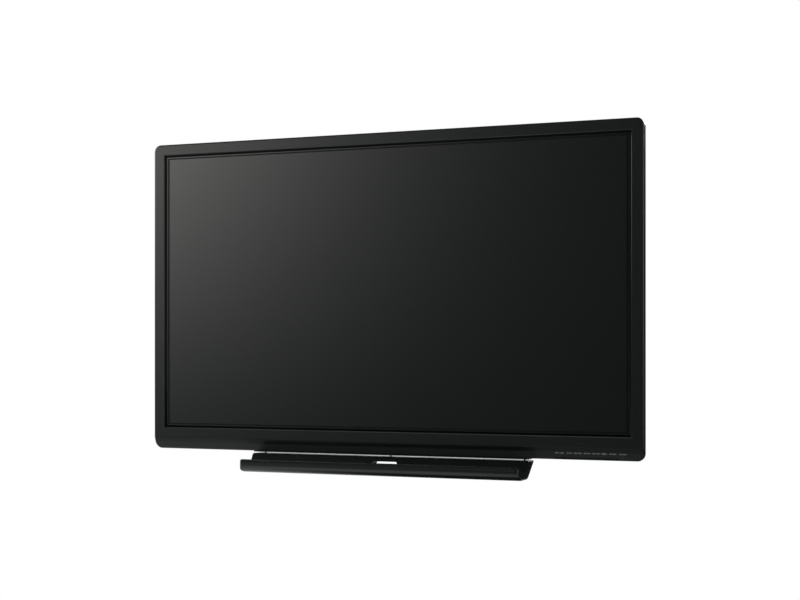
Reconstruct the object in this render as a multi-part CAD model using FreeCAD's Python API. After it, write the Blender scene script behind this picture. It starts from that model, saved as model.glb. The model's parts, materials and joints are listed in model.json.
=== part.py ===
import FreeCAD, Part
import math
import os

# Wall-mounted interactive display, 60 inch class, with a pen tray under its lower edge. Millimetres. The
# screen faces -Y, +X is to the right seen from the front and +Z is up. The origin is the centre of the
# 400 x 400 mm bolt pattern on the back, in the plane of the four bosses.

V = FreeCAD.Vector

# Picture and glass border
PICTURE_W = 1322.0
PICTURE_H = 743.6
MASK_SIDE = 8.2           # printed black border between the picture and the filter strip
MASK_TOP = 6.4            # the same above and below the picture
FILTER_W = 5.5            # slanted infrared filter strip, as seen from the front
GLASS_RECESS = 7.6        # front plane to glass
GLASS_T = 3.0
GLASS_UNDERLAP = 9.0      # glass hidden under the filter strip and the bezel

# Front bezel
BEZEL_SIDE = 32.8
BEZEL_TOP = 30.8
BEZEL_FLAT = 29.2         # upright part of the bottom member
SKIRT_H = 31.2            # part of the bottom member that leans back
SKIRT_TILT = 18.0         # degrees from upright
BEZEL_DEPTH = 18.0
BEZEL_FACE = 2.5
BEZEL_WALL = 2.5
CORNER_R = 20.0
EDGE_R = 5.0
CREASE_R = 9.0
OPENING_BEVEL = 2.0
TOWER_W = 8.0             # screw towers along the bezel's outer wall
TOWER_REACH = 13.0
TOWER_BITE = 0.5          # towers start this far inside the outer wall
SCREW_INSET = 9.5         # screw line to the bezel's outer edge

# Whole depth and mounting
DEPTH = 105.0             # front plane to the plane of the mounting bosses
MOUNT_PITCH = 400.0
MOUNT_HOLE_R = 2.5        # tapped M6
MOUNT_BOSS_R = 9.0

# Fits
SEAT = 0.1                # between pieces that rest on each other
FIT = 0.3                 # around a piece that slides or drops into an opening

# Touch frame
TOUCH_FRAME_W = 11.5
TOUCH_GAP = 1.0           # glass edge to touch frame
BOARD_T = 1.6
BOARD_W = 10.0
EMITTER = (4.0, 3.0, 4.0)
TOP_EMITTERS = 10
SIDE_EMITTERS = 6

# Display module, from front to back
GASKET_T = 1.8
GASKET_LAP = 1.0          # gasket stands out from the foot of the filter strip
MODULE_WALL = 1.0
MODULE_OUT = 12.8         # module outside the bezel opening
MODULE_DEPTH = 14.4
CELL_T = 1.6
FILM_T = 1.2
GUIDE_T = 4.0
REFLECTOR_T = 0.5
MIDFRAME_T = 2.3
MIDFRAME_WALL = 2.5
PAN_T = 1.2
PAN_RIB_H = 5.0
PAN_RIB_W = 16.0
PAN_RIB_FLARE = 3.0       # each flank of a rib spreads this far
PAN_RIB_WALL = 1.0
PAN_RIBS = 5
LED_BAR_T = 7.5
LEDS = 8
LED = (3.0, 7.0)
LED_BAR_END = 6.0         # pan's wall to the end of a bar
GUIDE_LAP = 5.0           # light guide past the picture
LED_TO_GUIDE = 1.0

# Rear cover: a shallow pan with a brim, and the housing over the electronics
COVER_T = 1.5
COVER_LIP = 3.0           # cover stands in from the bezel's outline
BRIM_W = 11.0
COVER_DRAFT = 4.0
COVER_RIM = 3.0
COVER_R = 5.0
COVER_BACK = 48.5         # depth of the pan's flat back
HOUSING_W = 960.0
HOUSING_H = 520.0
HOUSING_Z = -15.0
HOUSING_BACK = 103.0
HOUSING_R = 14.0
HOUSING_RIM = 4.0
HOUSING_FLANGE = 10.0
OPENING_INSET = 6.0       # housing's wall to the opening in the pan under it
SIGNAL_BAY_H = 270.0
SIGNAL_BAY_RISE = 75.0    # housing's lower wall to the bay
SIGNAL_BAY_REACH = 80.0
POWER_BAY_INSET = 40.0    # housing's left wall to the bay
POWER_BAY_REACH = 75.0
POWER_BAY_TO_RAIL = 20.0

# Vents
SLOT_W = 5.0
SLOT_PITCH = 18.0
SLOT_L = 30.0
TOP_SLOTS = 11
BOTTOM_SLOTS = 8
BACK_SLOTS = 8
BACK_SLOT_L = 60.0
VENT_INSET = 150.0        # housing's side wall to the middle of a group, over the large boards
SPEAKER_SLOTS = 4
SPEAKER_SLOT_PITCH = 14.0

# Carrying handles
HANDLE_H = 150.0
HANDLE_INSET = 117.5      # bezel's side to the handle's middle
HANDLE_Z = 190.0
HANDLE_REACH = 36.0
HANDLE_GRIP = 12.0
HANDLE_W = 20.0
HANDLE_LEG = 18.0
HANDLE_SLOPE = 8.0        # inside of a leg leans out this far
HANDLE_SHOULDER = 12.8    # outside of a leg leans in this far
HANDLE_INNER_R = 6.0
HANDLE_OUTER_R = 12.0

# Mounting rails
RAIL_W = 50.0
RAIL_FOOT = 15.0
RAIL_T = 2.0
RAIL_END = 15.0           # rail ends to the housing's upper and lower walls
RAIL_BACK = 93.0

# Boards and what stands on them
BOARD_LIFT = 50.0         # depth of the main and supply boards
PANEL_BOARD_LIFT = 35.0
SPACER_R = 3.5
SPACER_INSET = 7.0
MAIN_BOARD_H = 250.0
MAIN_BOARD_TO_RAIL = 5.5
SUPPLY_BOARD_H = 370.0
SUPPLY_BOARD_TO_RAIL = 23.5
SUPPLY_BOARD_INSET = 30.0 # housing's left wall to the board
SUPPLY_BOARD_RISE = 10.0  # power bay to the board
TIMING_BOARD = (260.0, 60.0)
TOUCH_BOARD = (140.0, 50.0)
PANEL_BOARD_INSET = 90.0  # housing's upper or lower wall to the middle of a board on the panel

# Large components, as width, height off the board and length along Z
PROCESSOR = (35.0, 3.0, 35.0)
COOLER = (28.0, 6.0, 28.0)
MEMORY = (22.0, 3.0, 22.0)
REGULATOR = (30.0, 8.0, 18.0)
TRANSFORMER = (50.0, 24.0, 45.0)
CHOKE = (40.0, 20.0, 35.0)
HEATSINK = (100.0, 28.0, 6.0)
CAPACITORS = (60.0, 16.0, 20.0)
TIMING_CHIP = (24.0, 2.0, 24.0)
PANEL_CONNECTOR = (45.0, 4.0, 6.0)
TOUCH_CHIP = (16.0, 2.0, 16.0)
TOUCH_CONNECTOR = (12.0, 6.0, 20.0)

# Speakers and terminal plate
SPEAKER = (58.0, 44.0, 100.0)
SPEAKER_RIM = 4.0
SPEAKER_RECESS = 4.0
SPEAKER_DROP = 90.0       # housing's upper wall to the speaker's middle
PLATE_T = 1.0
PLATE_TO_BOARD = 2.0

# Sockets on the terminal plate, as size along Z and size along Y
SOCKET_PITCH = 27.0
SOCKET_DEPTH = 17.0
LAN = (16.0, 13.5)
USB = (14.5, 7.0)
VIDEO = (15.5, 6.5)
SUB_D = (31.0, 12.5)
AUDIO = (10.0, 10.0)
AUDIO_BORE_R = 1.8
SHELL_T = 0.8
WINDOW_INSET = 12.0       # bay's ends to the window behind which the plate sits
WINDOW_OVER = 3.0         # tallest socket to the window's rear edge

# Mains inlet and switch
INLET = (27.0, 19.6, 20.0)
INLET_FLANGE = (31.0, 24.0, 2.4)
INLET_CAVITY = (24.2, 16.4, 16.0)
INLET_INSET = 50.0        # power bay's right wall to the inlet's middle
PIN = (2.0, 4.0, 12.0)
PIN_PITCH = 7.0
SWITCH_PITCH = 65.0       # inlet to switch
SWITCH_FRAME = (21.0, 13.6, 14.0)
SWITCH_FLANGE = (25.0, 17.0, 2.0)
ROCKER = (17.0, 9.6)
ROCKER_DEPTH = 6.5
ROCKER_TILT = 7.0
ROCKER_PIN_R = 1.0
ROCKER_PIN_BITE = 0.8     # pins reach this far into the frame
ROCKER_SOCKET = 1.2       # depth of the hole for a pin
ROCKER_TIP_R = 0.8
ROCKER_DISH = 1.6
ROCKER_DISH_R = 12.0
ROCKER_TAPER = 1.0
ROCKER_WELL = (1.0, 6.0)  # room at the rocker's ends and behind it
ROCKER_STAND = 3.0        # ends of the rocker stand this far out of the frame when level
INLET_DEPTH_POS = 76.0

# Keys
KEYS = 7
KEY_PITCH = 23.6
KEY_END = 78.4            # bezel's right side to the last key's middle
KEY_GAP = 1.4
KEY_EDGE = 0.5
KEY_ROUND = 3.4           # lower front edge, which follows the bezel's rounded one
KEY_H = 4.2
KEY_NOTCH_H = 5.6
KEY_TRAVEL = 1.0
KEY_STEM = (8.0, 3.6)
KEY_SHELF_T = 1.8
KEY_HEAD = 1.2
KEY_HEAD_LIP = 1.2        # head stands out from the stem at each end
SWITCH_BODY = (6.0, 3.4, 2.8)
KEY_BOARD_Z = 13.2
KEY_BOARD_LAP = (4.0, 14.0)   # past the first key and past the lens
KEY_BOARD_EDGE = 0.6
LAMP = (5.0, 4.0, 3.0)
BOARD_RIB_T = 2.0
BOARD_RIB_END = 8.0       # past the lens
BOARD_RIB_DROP = 8.0      # crease to a rib's top
BOARD_RIB_BACK = (1.0, 3.0)   # bezel's rear to a rib's foot and top
LENS_PITCH = 22.9         # last key to the lens
LENS_Z = 8.5
LENS = (4.0, 2.0)

# Pen tray: section in depth behind the front plane and height under the bezel's lower edge
TRAY_W = 802.0
TRAY_FRONT = -64.0
TRAY_LIP_DROP = 18.8
TRAY_LIP_W = 5.0
TRAY_FRONT_R = 32.0
TRAY_BOTTOM = 54.8
TRAY_HEEL = 8.0
TRAY_REAR = 65.0
TRAY_GAP = 6.8
TRAY_BACK_EDGE = 20.0
TRAY_VALLEY = 0.0
TRAY_VALLEY_DROP = 41.3
TRAY_WALL = 2.8
LIP_SOLID = 7.0
CAP_T = 14.0
CAP_LIP_R = 12.0
CAP_BACK_R = 5.0
CAP_FOOT_R = 8.0
CAP_PLUG = 10.0
SLOT_OPEN_W = 72.0
SLOT_OPEN_H = 11.0
SLOT_TOP_DROP = 19.6
SLOT_R = 5.0
BAR_T = 3.2
BAR_INSET = 2.0           # tray's end to the bar's end
BAR_FRONT = 22.0
BAR_REAR = 60.0
PAD = (16.0, 6.0)
TRAY_PADS = 3
PAD_INSET = 22.0          # tray's end to the middle of the last pad
BRACKET_W = 60.0
BRACKET_T = 2.5
BRACKET_X = 300.0
BRACKET_H = 95.0
BRACKET_R = 8.0

# Worked out from the above
OPEN_W = PICTURE_W + 2 * (MASK_SIDE + FILTER_W)
OPEN_H = PICTURE_H + 2 * (MASK_TOP + FILTER_W)
OUTER_W = OPEN_W + 2 * BEZEL_SIDE
BEZEL_BOTTOM = BEZEL_FLAT + SKIRT_H
OUTER_H = OPEN_H + BEZEL_TOP + BEZEL_BOTTOM
FRONT_Y = -DEPTH
TOP_Z = OUTER_H / 2
BOTTOM_Z = -OUTER_H / 2
PICTURE_Z = (BEZEL_BOTTOM - BEZEL_TOP) / 2
BEZEL_REAR = FRONT_Y + BEZEL_DEPTH
SKIRT_SLOPE = math.tan(math.radians(SKIRT_TILT))
SKIRT_SET_BACK = SKIRT_H * SKIRT_SLOPE
FACE_LEAN = BEZEL_FACE / math.cos(math.radians(SKIRT_TILT))
HOUSING_BOTTOM = HOUSING_Z - HOUSING_H / 2
HOUSING_TOP = HOUSING_Z + HOUSING_H / 2
RAIL_EDGE = MOUNT_PITCH / 2 + RAIL_W / 2 + RAIL_FOOT
SIGNAL_BAY_Z = HOUSING_BOTTOM + SIGNAL_BAY_RISE + SIGNAL_BAY_H / 2
POWER_BAY_LEFT = -HOUSING_W / 2 + POWER_BAY_INSET
POWER_BAY_RIGHT = -RAIL_EDGE - POWER_BAY_TO_RAIL
INLET_X = POWER_BAY_RIGHT - INLET_INSET
SWITCH_X = INLET_X - SWITCH_PITCH
SPEAKER_Z = HOUSING_TOP - SPEAKER_DROP
VENT_GROUP_X = HOUSING_W / 2 - VENT_INSET
HANDLE_X = OUTER_W / 2 - HANDLE_INSET
LAST_KEY_X = OUTER_W / 2 - KEY_END
LENS_X = LAST_KEY_X + LENS_PITCH
BAR_W = TRAY_W - 2 * BAR_INSET


def at(depth):
    """World Y of a depth behind the front plane."""
    return FRONT_Y + depth


def up(height):
    """World Z of a height above the bezel's lower edge."""
    return BOTTOM_Z + height


GLASS_Y = at(GLASS_RECESS)
GASKET_Y = GLASS_Y + GLASS_T + SEAT
MODULE_Y = GASKET_Y + GASKET_T + SEAT
CELL_Y = MODULE_Y + MODULE_WALL + FIT
MIDFRAME_Y = CELL_Y + CELL_T + SEAT
FILM_Y = MIDFRAME_Y + MIDFRAME_T + SEAT
GUIDE_Y = FILM_Y + FILM_T + SEAT
REFLECTOR_Y = GUIDE_Y + GUIDE_T + SEAT
PAN_Y = REFLECTOR_Y + REFLECTOR_T + SEAT
PAN_BACK = PAN_Y + PAN_T
RIB_BACK = PAN_BACK + PAN_RIB_H
MODULE_REAR = MODULE_Y + MODULE_DEPTH
COVER_FRONT = BEZEL_REAR + SEAT
COVER_BACK_Y = at(COVER_BACK)
HOUSING_BACK_Y = at(HOUSING_BACK)
BOARD_Y = at(BOARD_LIFT)


# Outline and solid helpers
def corner_points(a, b, c, r):
    """Tangent points and middle of the arc that rounds corner b, in two dimensions."""
    ax, ay = a[0] - b[0], a[1] - b[1]
    cx, cy = c[0] - b[0], c[1] - b[1]
    la, lc = math.hypot(ax, ay), math.hypot(cx, cy)
    ax, ay, cx, cy = ax / la, ay / la, cx / lc, cy / lc
    half = math.acos(max(-1.0, min(1.0, ax * cx + ay * cy))) / 2
    reach = r / math.tan(half)
    mx, my = ax + cx, ay + cy
    lm = math.hypot(mx, my)
    middle = r / math.sin(half) - r
    start = (b[0] + ax * reach, b[1] + ay * reach)
    end = (b[0] + cx * reach, b[1] + cy * reach)
    return start, (b[0] + mx / lm * middle, b[1] + my / lm * middle), end


def rounded_wire(points, place):
    """Closed wire through (a, b, radius) corners; place turns (a, b) into a 3D point."""
    edges = []
    starts = []
    count = len(points)
    for i, p in enumerate(points):
        before, after = points[i - 1], points[(i + 1) % count]
        if p[2] > 0:
            start, middle, end = corner_points(before, p, after, p[2])
            starts.append((start, middle, end))
        else:
            starts.append(((p[0], p[1]), None, (p[0], p[1])))
    for i, (start, middle, end) in enumerate(starts):
        if middle:
            edges.append(Part.Arc(place(*start), place(*middle), place(*end)).toShape())
        following = starts[(i + 1) % count][0]
        if math.dist(end, following) > 1e-6:
            edges.append(Part.LineSegment(place(*end), place(*following)).toShape())
    return Part.Wire(edges)


def inset(points, distance):
    """Corners of the outline moved inward by a distance; the corners run anticlockwise."""
    count = len(points)
    moved = []
    for i, p in enumerate(points):
        a, c = points[i - 1], points[(i + 1) % count]
        d1 = (p[0] - a[0], p[1] - a[1])
        d2 = (c[0] - p[0], c[1] - p[1])
        l1, l2 = math.hypot(*d1), math.hypot(*d2)
        n1 = (-d1[1] / l1, d1[0] / l1)
        n2 = (-d2[1] / l2, d2[0] / l2)
        cross = (d1[0] * d2[1] - d1[1] * d2[0]) / (l1 * l2)
        dot = n1[0] * n2[0] + n1[1] * n2[1]
        k = distance / (1 + dot)
        r = p[2] - distance if cross > 0 else p[2] + distance
        new_r = max(r, 0.0) if p[2] > 0 else 0.0
        moved.append((p[0] + (n1[0] + n2[0]) * k, p[1] + (n1[1] + n2[1]) * k, new_r))
    return moved


def extrude(points, place, along):
    return Part.Face(rounded_wire(points, place)).extrude(along)


def front_view(y):
    return lambda x, z: V(x, y, z)


def side_view(x):
    return lambda y, z: V(x, y, z)


def plan_view(z):
    return lambda x, y: V(x, y, z)


def rectangle(w, h, r, cx=0.0, cz=0.0):
    x, z = w / 2, h / 2
    return [(cx - x, cz - z, r), (cx + x, cz - z, r), (cx + x, cz + z, r), (cx - x, cz + z, r)]


def slab(w, h, r, y0, y1, cx=0.0, cz=0.0):
    """Plate with rounded corners, parallel to the screen, from y0 to y1."""
    return extrude(rectangle(w, h, r, cx, cz), front_view(y0), V(0, y1 - y0, 0))


def lofted(sections, cz=0.0):
    """Straight-sided solid through (width, height, corner radius, y) sections, from front to back."""
    wires = [rounded_wire(rectangle(w, h, r, 0, cz), front_view(y)) for w, h, r, y in sections]
    return Part.makeLoft(wires, True, True)


def taper(w0, h0, y0, w1, h1, y1, cz=0.0):
    """Slab with square corners whose size changes from front to back."""
    return lofted([(w0, h0, 0.0, y0), (w1, h1, 0.0, y1)], cz)


def ring(outer, inner, y0, y1, r=0.0):
    """Frame between two (w, h) rectangles around the picture."""
    body = slab(outer[0], outer[1], r, y0, y1, 0, PICTURE_Z)
    return body.cut(slab(inner[0], inner[1], 0, y0 - 1, y1 + 1, 0, PICTURE_Z))


def box(x0, x1, y0, y1, z0, z1):
    return Part.makeBox(x1 - x0, y1 - y0, z1 - z0, V(x0, y0, z0))


def block(cx, cy, cz, w, d, h):
    return box(cx - w / 2, cx + w / 2, cy - d / 2, cy + d / 2, cz - h / 2, cz + h / 2)


def opening_size(margin):
    """Size of the bezel opening grown by a margin on every side."""
    return (OPEN_W + 2 * margin, OPEN_H + 2 * margin)


def picture_size(margin):
    return (PICTURE_W + 2 * margin, PICTURE_H + 2 * margin)


def join(first, others):
    return first.fuse(others).removeSplitter()


def spread(count, pitch):
    """Places of a centred row."""
    return [(i - (count - 1) / 2) * pitch for i in range(count)]


# Front bezel
def skirt_cutter(depth=0.0):
    """Space in front of the bottom member's two faces, or in front of a line that deep inside them."""
    slant = depth / math.cos(math.radians(SKIRT_TILT))
    crease_height = SKIRT_H + (slant - depth) / SKIRT_SLOPE
    below = -SKIRT_H / 2
    outline = [
        (at(depth), up(SKIRT_H + BEZEL_FLAT), 0.0),
        (FRONT_Y - SKIRT_H, up(SKIRT_H + BEZEL_FLAT), 0.0),
        (FRONT_Y - SKIRT_H, up(below), 0.0),
        (at(slant + (SKIRT_H - below) * SKIRT_SLOPE), up(below), 0.0),
        (at(depth), up(crease_height), CREASE_R),
    ]
    return extrude(outline, side_view(-OUTER_W), V(2 * OUTER_W, 0, 0))


def skirt_front(height):
    """World Y of the skirt's outside at a height above the lower edge."""
    return at((SKIRT_H - height) * SKIRT_SLOPE)


def screw_places():
    """Centres (x, z) of the screws that hold the rear cover to the bezel."""
    x = OUTER_W / 2 - SCREW_INSET
    top, bottom = TOP_Z - SCREW_INSET, BOTTOM_Z + SCREW_INSET
    places = [(OUTER_W * f, top) for f in (-0.42, -0.14, 0.14, 0.42)]
    places += [(OUTER_W * f, bottom) for f in (-0.45, -0.15, 0.15, 0.3)]
    places += [(side * x, OUTER_H * f) for side in (-1, 1) for f in (-0.3, 0.0, 0.3)]
    return places


def key_places():
    return [LAST_KEY_X - (KEYS - 1 - i) * KEY_PITCH for i in range(KEYS)]


def key_span():
    xs = key_places()
    return xs[0] - KEY_PITCH / 2, xs[-1] + KEY_PITCH / 2


def stem_y():
    """Front and rear faces of the key stems, just behind the skirt's wall."""
    front = skirt_front(KEY_NOTCH_H) + FACE_LEAN + FIT
    return front, front + KEY_STEM[1]


def front_bezel():
    body = slab(OUTER_W, OUTER_H, CORNER_R, FRONT_Y, BEZEL_REAR)
    body = body.cut(skirt_cutter())
    front_edges = []
    for edge in body.Edges:
        points = [v.Point for v in edge.Vertexes]
        if all(p.y < BEZEL_REAR - 1 for p in points) and not is_crease(edge):
            front_edges.append(edge)
    body = body.makeFillet(EDGE_R, front_edges)
    hollow = slab(OUTER_W - 2 * BEZEL_WALL, OUTER_H - 2 * BEZEL_WALL, CORNER_R - BEZEL_WALL,
                  FRONT_Y + BEZEL_FACE, BEZEL_REAR + 1)
    hollow = hollow.cut(skirt_cutter(BEZEL_FACE))
    body = body.cut(hollow)
    body = body.cut(slab(OPEN_W, OPEN_H, 0, FRONT_Y - 1, BEZEL_REAR + 1, 0, PICTURE_Z))
    bevel = 2 * OPENING_BEVEL
    body = body.cut(taper(OPEN_W + bevel + 2, OPEN_H + bevel + 2, FRONT_Y - 1,
                          OPEN_W, OPEN_H, FRONT_Y + OPENING_BEVEL, PICTURE_Z))
    body = join(body, screw_towers() + [key_shelf()] + board_ribs())
    x0, x1 = key_span()
    notch = box(x0, x1, FRONT_Y - 1, stem_y()[1] + FIT, BOTTOM_Z - 1, up(KEY_NOTCH_H))
    holes = []
    for x in key_places():
        holes.append(box(x - KEY_STEM[0] / 2 - FIT, x + KEY_STEM[0] / 2 + FIT, stem_y()[0] - FIT,
                         stem_y()[1] + FIT, BOTTOM_Z, up(KEY_NOTCH_H + KEY_SHELF_T + 1)))
    lens = block(LENS_X, skirt_front(LENS_Z), up(LENS_Z),
                 LENS[0] + 2 * SEAT, 4 * BEZEL_FACE, LENS[1] + 2 * SEAT)
    return body.cut([notch, lens] + holes)


def screw_towers():
    """Square towers against the outer wall that take the rear cover's screws."""
    towers = []
    root = BEZEL_WALL - TOWER_BITE
    shift = (TOWER_REACH + root) / 2 - SCREW_INSET
    length = TOWER_REACH - root
    for x, z in screw_places():
        on_side = abs(x) > OUTER_W / 2 - SCREW_INSET - 1
        out = 1 if (x if on_side else z) > 0 else -1
        front = FRONT_Y + BEZEL_FACE - TOWER_BITE
        if z < BOTTOM_Z + SKIRT_H:
            front = skirt_front(0) + FACE_LEAN - TOWER_BITE
        middle = (front + BEZEL_REAR) / 2
        depth = BEZEL_REAR - front
        if on_side:
            towers.append(block(x - out * shift, middle, z, length, depth, TOWER_W))
        else:
            towers.append(block(x, middle, z - out * shift, TOWER_W, depth, length))
    return towers


def is_crease(edge):
    """True for the rounded crease's own straight edges, which run along X between the two faces."""
    points = [v.Point for v in edge.Vertexes]
    inside = all(p.z > BOTTOM_Z + SKIRT_H / 3 and p.z < TOP_Z - CORNER_R for p in points)
    return inside and abs(points[0].z - points[-1].z) < 1e-6


def key_shelf():
    """Wall inside the skirt with one hole for each key's stem."""
    x0, x1 = key_span()
    bottom, top = up(KEY_NOTCH_H), up(KEY_NOTCH_H + KEY_SHELF_T)
    lean = FACE_LEAN / 2
    outline = [
        (skirt_front(KEY_NOTCH_H) + lean, bottom, 0.0),
        (BEZEL_REAR, bottom, 0.0),
        (BEZEL_REAR, top, 0.0),
        (skirt_front(KEY_NOTCH_H + KEY_SHELF_T) + lean, top, 0.0),
    ]
    shelf = extrude(outline, side_view(x0 - BEZEL_WALL), V(x1 - x0 + 2 * BEZEL_WALL, 0, 0))
    legs = []
    for x in (x0 - BEZEL_WALL, x1):
        legs.append(box(x, x + BEZEL_WALL, skirt_front(0) + lean, BEZEL_REAR, BOTTOM_Z + BEZEL_WALL / 2, top))
    return shelf.fuse(legs)


def board_ribs():
    """Ribs that the key board hangs from."""
    x0, x1 = key_span()
    bottom = up(KEY_BOARD_Z + BOARD_T + SEAT)
    rib_top = SKIRT_H - BOARD_RIB_DROP
    top = up(rib_top)
    half = BOARD_RIB_T / 2
    ribs = []
    for x in (x0, (x0 + x1) / 2 + KEY_PITCH / 2, LENS_X + BOARD_RIB_END):
        outline = [
            (skirt_front(KEY_BOARD_Z) + FACE_LEAN / 2, bottom, 0.0),
            (BEZEL_REAR - BOARD_RIB_BACK[0], bottom, 0.0),
            (BEZEL_REAR - BOARD_RIB_BACK[1], top, 0.0),
            (skirt_front(rib_top) + FACE_LEAN / 2, top, 0.0),
        ]
        ribs.append(extrude(outline, side_view(x - half), V(2 * half, 0, 0)))
    return ribs


def function_key(x):
    """Key cap flush with the leaning skirt, with a stem and a head above the shelf."""
    half = (KEY_PITCH - KEY_GAP) / 2
    front, rear = stem_y()
    cap = extrude([
        (skirt_front(0) + FIT, BOTTOM_Z, KEY_ROUND),
        (rear, BOTTOM_Z, 0.0),
        (rear, up(KEY_H), 0.0),
        (skirt_front(KEY_H) + FIT, up(KEY_H), KEY_EDGE),
    ], side_view(x - half), V(2 * half, 0, 0))
    w = KEY_STEM[0]
    shelf_top = up(KEY_NOTCH_H + KEY_SHELF_T)
    stem = box(x - w / 2, x + w / 2, front, rear, up(KEY_H / 2), shelf_top + SEAT + KEY_HEAD)
    lip = w / 2 + KEY_HEAD_LIP
    head = box(x - lip, x + lip, front, rear, shelf_top + SEAT, shelf_top + SEAT + KEY_HEAD)
    return join(cap, [stem, head])


def key_board():
    x0, x1 = key_span()
    y0 = skirt_front(KEY_BOARD_Z) + FACE_LEAN + KEY_BOARD_EDGE
    y1 = BEZEL_REAR - KEY_BOARD_EDGE
    board = box(x0 - KEY_BOARD_LAP[0], LENS_X + KEY_BOARD_LAP[1], y0, y1,
                up(KEY_BOARD_Z), up(KEY_BOARD_Z + BOARD_T))
    w, d, h = SWITCH_BODY
    front, rear = stem_y()
    parts = []
    for x in key_places():
        parts.append(block(x, (front + rear) / 2, up(KEY_BOARD_Z - h / 2), w, d, h))
    parts.append(block(LENS_X, (y0 + y1) / 2, up(KEY_BOARD_Z - LAMP[2] / 2), *LAMP))
    return join(board, parts)


def indicator_lens():
    """Clear bar that carries the power lamp's light through the skirt."""
    front = skirt_front(LENS_Z) - 1
    rear = BEZEL_REAR - 1.5
    bar = block(LENS_X, (front + rear) / 2, up(LENS_Z), LENS[0], rear - front, LENS[1])
    return bar.cut(skirt_cutter(SEAT))


# Glass, filter and touch frame
def filter_frame():
    """Slanted strip all round, dark to the eye and clear to infrared."""
    y0 = at(BEZEL_FACE) + SEAT
    y1 = GLASS_Y - SEAT
    shelf = y0 + 1.6
    edge = 0.8
    body = slab(*opening_size(4.0), 0, y0, shelf, 0, PICTURE_Z)
    body = body.fuse(taper(*opening_size(1.5), shelf, *opening_size(2.5 - FILTER_W), y1, PICTURE_Z))
    hole = taper(*opening_size(0.0), y0, *opening_size(-FILTER_W), y1 - edge, PICTURE_Z)
    hole = hole.fuse(slab(*opening_size(-FILTER_W), 0, y1 - edge, y1 + 1, 0, PICTURE_Z))
    hole = hole.fuse(slab(*opening_size(0.0), 0, y0 - 1, y0, 0, PICTURE_Z))
    return body.cut(hole).removeSplitter()


def glass_size():
    return opening_size(GLASS_UNDERLAP - FILTER_W)


def protective_glass():
    w, h = glass_size()
    plate = slab(w, h, 0, GLASS_Y, GLASS_Y + GLASS_T, 0, PICTURE_Z)
    rim = [e for e in plate.Edges if all(v.Point.y < GLASS_Y + 0.01 for v in e.Vertexes)]
    return plate.makeChamfer(0.4, rim)


def glass_gasket():
    w, h = glass_size()
    return ring((w - 1, h - 1), opening_size(GASKET_LAP - FILTER_W), GASKET_Y, GASKET_Y + GASKET_T)


def touch_margin():
    """Inner and outer edge of the touch frame, measured out from the bezel opening."""
    inner = GLASS_UNDERLAP - FILTER_W + TOUCH_GAP
    return inner, inner + TOUCH_FRAME_W


def touch_frame():
    inner, outer = touch_margin()
    y1 = MODULE_Y - SEAT
    y0 = GLASS_Y + 0.4 + BOARD_T + SEAT
    return ring(opening_size(outer), opening_size(inner), y0, y1)


def touch_board(side):
    """One strip board of the touch frame, with its row of emitters or receivers."""
    inner, outer = touch_margin()
    y0 = GLASS_Y + 0.4
    w, h = opening_size(inner + 0.5)
    length, depth, height = EMITTER
    gap = 1.0
    if side in ("top", "bottom"):
        sign = 1 if side == "top" else -1
        edge = PICTURE_Z + sign * h / 2
        plate = box(-w / 2 - BOARD_W + 1, w / 2 + BOARD_W - 1, y0, y0 + BOARD_T,
                    min(edge, edge + sign * BOARD_W), max(edge, edge + sign * BOARD_W))
        places = spread(TOP_EMITTERS, w / TOP_EMITTERS)
        z = edge + sign * (gap + depth / 2)
        row = [block(x, y0 - height / 2, z, length, height, depth) for x in places]
    else:
        sign = 1 if side == "right" else -1
        edge = sign * w / 2
        plate = box(min(edge, edge + sign * BOARD_W), max(edge, edge + sign * BOARD_W), y0, y0 + BOARD_T,
                    PICTURE_Z - h / 2 + FIT, PICTURE_Z + h / 2 - FIT)
        places = spread(SIDE_EMITTERS, h / SIDE_EMITTERS)
        x = edge + sign * (gap + depth / 2)
        row = [block(x, y0 - height / 2, PICTURE_Z + z, depth, height, length) for z in places]
    return join(plate, row)


# Display module
def module_front_frame():
    outer = opening_size(MODULE_OUT)
    body = ring(outer, picture_size(1.5), MODULE_Y, MODULE_REAR, 1.5)
    hollow = slab(outer[0] - 2 * MODULE_WALL, outer[1] - 2 * MODULE_WALL, 0,
                  MODULE_Y + MODULE_WALL, MODULE_REAR + 1, 0, PICTURE_Z)
    return body.cut(hollow)


def lcd_cell():
    return slab(*picture_size(6.0), 0, CELL_Y, CELL_Y + CELL_T, 0, PICTURE_Z)


def midframe_outer():
    return MODULE_OUT - MODULE_WALL - 0.2


def module_mid_frame():
    out = midframe_outer()
    base = ring(opening_size(out), picture_size(1.0), MIDFRAME_Y, MIDFRAME_Y + MIDFRAME_T)
    wall = ring(opening_size(out), opening_size(out - MIDFRAME_WALL), CELL_Y - SEAT, MODULE_REAR)
    return base.fuse(wall).removeSplitter()


def optical_film_stack():
    return slab(*picture_size(4.0), 0, FILM_Y, FILM_Y + FILM_T, 0, PICTURE_Z)


def light_guide_plate():
    return slab(*picture_size(GUIDE_LAP), 0, GUIDE_Y, GUIDE_Y + GUIDE_T, 0, PICTURE_Z)


def reflector_sheet():
    return slab(*picture_size(GUIDE_LAP), 0, REFLECTOR_Y, REFLECTOR_Y + REFLECTOR_T, 0, PICTURE_Z)


def pan_margin():
    return midframe_outer() - MIDFRAME_WALL - FIT


def rib_places():
    """Heights of the ribs across the pan's back."""
    return [PICTURE_Z + z for z in spread(PAN_RIBS, opening_size(pan_margin())[1] / (PAN_RIBS + 0.6))]


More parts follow.
